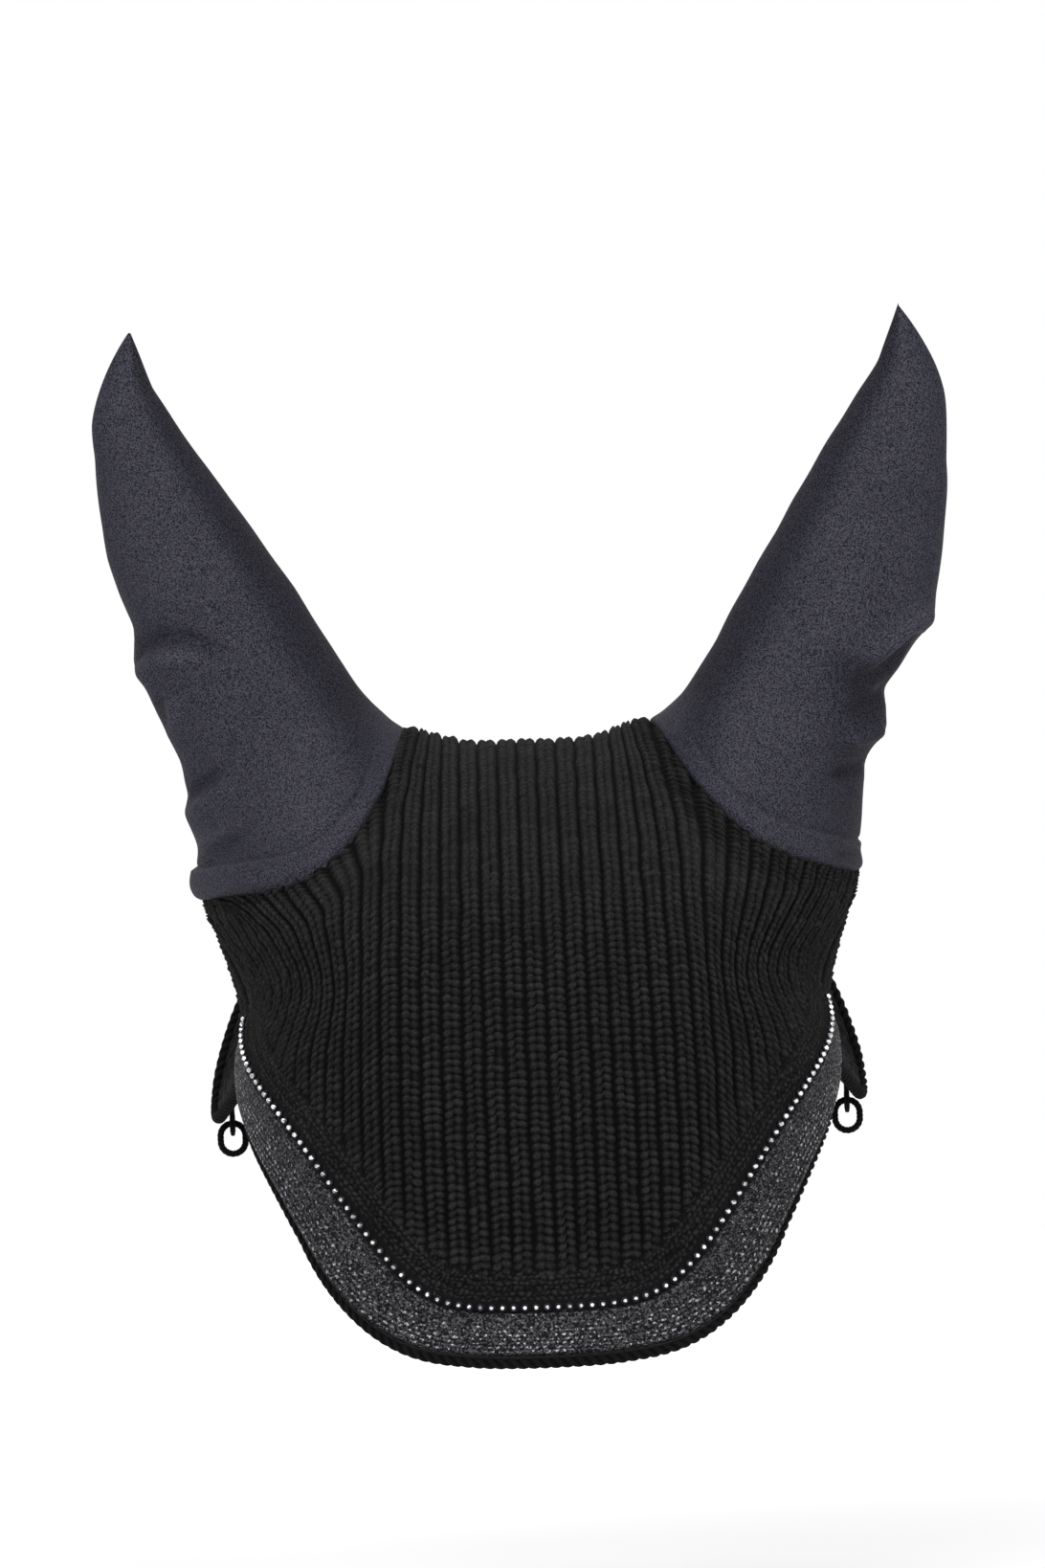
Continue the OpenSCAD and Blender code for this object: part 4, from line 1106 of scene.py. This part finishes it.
class BONNET_OT_inner_seams(bpy.types.Operator):
    """Builds the overlocked seams inside, round the ears and down the sides"""
    bl_idname = "bonnet.inner_seams"
    bl_label = "Inner seams"

    def execute(self, context):
        thread = knit_material("Black overlock thread", colours().border, SEAM_FUZZ)
        depth = KNIT_T + SEAM_D / 2 + SEAM_LAY
        twist = SEAM_D / 2, SEAM_TWIST, SEAM_STRANDS, SEAM_GROOVE, SEAM_SIDES
        t = np.linspace(0, 360, 420, endpoint=False)
        path = ring_point(t, depth, SEAM_D)
        ear = tube(path, ring_point(t, 0, SEAM_D) - path, *twist, True)
        low, top = hem_place(TRIM_HALF, BORDER_W), ring_place(360, 0)
        v = np.linspace(1 / 11, 10 / 11, 150)
        place = lerp(low[0], top[0], v), lerp(low[1], top[1], v)
        path = form(*place, depth)
        down = tube(path, form(*place, 0) - path, *twist)
        for side in ("right", "left"):
            for name, (shape, hollow) in ((side + "_ear", ear), (side + "_side", down)):
                shape = on_side(side, *shape)
                build(name + "_overlock", shape, thread, (name + "_seam",), hollow)
        return {"FINISHED"}


TAB_POINTS, LOOP_TWIST, LOOP_GROOVE, LOOP_SIDES = 64, 4.5, 0.25, 14


class BONNET_OT_wing_ties(bpy.types.Operator):
    """Builds the tape tabs inside the wing tips and the cord loops that hang in them"""
    bl_idname = "bonnet.wing_ties"
    bl_label = "Wing ties"

    @staticmethod
    def tab():
        """A stitched tape tab with a hole: rings from the hole out to the tape's edge, on both faces."""
        a = np.arange(TAB_POINTS) * TURN / TAB_POINTS
        c, z = np.cos(a), np.sin(a)
        reach, up = TAB_W / 2, TAB_TOP - TAB_HOLE[2]
        square = np.minimum(reach / np.maximum(np.abs(c), 1e-6), up / np.maximum(z, 1e-6))
        outer = np.where(z > 0, square, reach)
        hole, half = TAB_HOLE_D / 2, TAB_T / 2
        rings = [(hole, half - 0.3), (hole + 0.3, half), (hole + 0.9, half + 0.15), (hole + 1.3, half),
                 (outer - 0.5, half), (outer, half - 0.3)]
        rings += [(r, -x) for r, x in rings[::-1]]
        points = np.concatenate([np.stack([np.full(TAB_POINTS, x), r * c, r * z], -1) for r, x in rings])
        return points + TAB_HOLE, grid_faces(len(rings) + 1, TAB_POINTS, True) % len(points)

    def execute(self, context):
        hue = colours()
        tape = knit_material("Black cotton tape", hue.cord, TAPE_FUZZ)
        yarn = knit_material("Black twisted cord, loops", hue.cord, CORD_FUZZ)
        half = np.linspace(0, np.pi, 40)
        line = np.linspace(0, 1, 14)[1:-1, None]
        top = LOOP_R * np.stack([np.cos(half), 0 * half, np.sin(half) - 1], -1)
        low = -top - [0, 0, 2 * LOOP_R + LOOP_SIDE]
        path = np.concatenate([top, lerp(top[-1], low[0], line), low, lerp(low[-1], top[0], line)]) + TAB_HOLE
        out = np.tile([0.0, 1, 0], (len(path), 1))
        twist = LOOP_D / 2, LOOP_TWIST, CORD_STRANDS, LOOP_GROOVE, LOOP_SIDES
        loop, hollow = tube(path, out, *twist, True)
        for side in ("right", "left"):
            tab = on_side(side, *self.tab())
            build(side + "_tape_tab", tab, tape, (side + "_tie_tab",), 0.2, smooth=False)
            build(side + "_cord_loop", on_side(side, *loop), yarn, (side + "_tie_loop",),
                  hollow * CORD_SHADE, side + "_tie")
        return {"FINISHED"}


# Stage, in metres and watts: each softbox by its place, width and power
SOFTBOXES = (
    ("key_softbox", (-0.7, -2.1, 1.0), 1.2, 17),
    ("fill_softbox", (0.9, -2.1, 0.6), 1.2, 11),
    ("top_softbox", (0, -0.2, 1.7), 1.0, 4),
)
LIGHT_AIM = Vector((0, -0.07, -0.05))
FLOOR_CORNERS = (-3, -3, -0.3), (3, -3, -0.3), (3, 3, -0.3), (-3, 3, -0.3)
SENSOR_MM, CAMERA_FAR, VIEW_WIDTH, CAMERA_ROLL = 36, 4.0, 0.546, -2.2
CAMERA_AT = -0.00163, -CAMERA_FAR - 0.075, -0.01212


class BONNET_OT_stage(bpy.types.Operator):
    """Sets up the floor, the soft lights, the white surroundings and the camera"""
    bl_idname = "bonnet.stage"
    bl_label = "Stage"

    def execute(self, context):
        scene = context.scene
        scene.view_settings.view_transform = "Standard"
        mesh = bpy.data.meshes.new("paper_floor")
        mesh.from_pydata(FLOOR_CORNERS, [], [(0, 1, 2, 3)])
        mesh.materials.append(paper_material("White backdrop paper", linear("#f2f2f2")))
        floor = bpy.data.objects.new("paper_floor", mesh)
        scene.collection.objects.link(floor)
        world = bpy.data.worlds.new("White surroundings")
        scene.world = world
        world.use_nodes = True
        tree = world.node_tree
        tree.nodes.clear()
        ray = node(tree, "LightPath").outputs
        first = node(tree, "Math", {0: ray["Is Camera Ray"], 1: ray["Is Glossy Ray"]}, operation="ADD")
        seen = node(tree, "Math", {0: first.outputs[0], 1: ray["Is Transmission Ray"]},
                    operation="ADD", use_clamp=True)
        level = node(tree, "MapRange", {"Value": seen.outputs[0], "To Min": 0.18, "To Max": 1.0})
        sky = node(tree, "Background", {"Color": (1, 1, 1, 1), "Strength": level.outputs[0]})
        node(tree, "OutputWorld", {"Surface": sky.outputs[0]})
        for name, place, wide, power in SOFTBOXES:
            lamp = bpy.data.lights.new(name, "AREA")
            lamp.shape, lamp.size, lamp.energy = "DISK", wide, power
            made = bpy.data.objects.new(name, lamp)
            aim = (LIGHT_AIM - Vector(place)).to_track_quat("-Z", "Y")
            made.matrix_world = Matrix.Translation(place) @ aim.to_matrix().to_4x4()
            scene.collection.objects.link(made)
        lens = bpy.data.cameras.new("long_lens")
        lens.sensor_width, lens.lens = SENSOR_MM, SENSOR_MM * CAMERA_FAR / VIEW_WIDTH
        lens.clip_end = 50
        camera = bpy.data.objects.new("long_lens", lens)
        turn = Matrix.Rotation(np.pi / 2, 4, "X") @ Matrix.Rotation(CAMERA_ROLL / DEG, 4, "Z")
        camera.matrix_world = Matrix.Translation(CAMERA_AT) @ turn
        scene.collection.objects.link(camera)
        scene.camera = camera
        return {"FINISHED"}


class BONNET_PT_panel(bpy.types.Panel):
    """Lists the bonnet's pieces"""
    bl_idname = "BONNET_PT_panel"
    bl_label = "Ear bonnet"
    bl_space_type = "VIEW_3D"
    bl_region_type = "UI"
    bl_category = "Bonnet"

    def draw(self, context):
        for operator in OPERATORS:
            self.layout.operator(operator.bl_idname)


OPERATORS = (
    BONNET_OT_stage, BONNET_OT_crown_knit, BONNET_OT_cheek_knit, BONNET_OT_hem_border,
    BONNET_OT_glitter_band, BONNET_OT_stone_row, BONNET_OT_edge_cords, BONNET_OT_cloth_ears,
    BONNET_OT_inner_seams, BONNET_OT_wing_ties,
)
CLASSES = (BonnetSizes, BonnetColours, *OPERATORS, BONNET_PT_panel)


def register():
    for kind in CLASSES:
        bpy.utils.register_class(kind)
    bpy.types.Scene.bonnet_sizes = bpy.props.PointerProperty(type=BonnetSizes)
    bpy.types.Scene.bonnet_colours = bpy.props.PointerProperty(type=BonnetColours)


def unregister():
    del bpy.types.Scene.bonnet_sizes, bpy.types.Scene.bonnet_colours
    for kind in reversed(CLASSES):
        bpy.utils.unregister_class(kind)


def main():
    register()
    for operator in OPERATORS:
        group, name = operator.bl_idname.split(".")
        getattr(getattr(bpy.ops, group), name)()


if __name__ == "__main__":
    main()
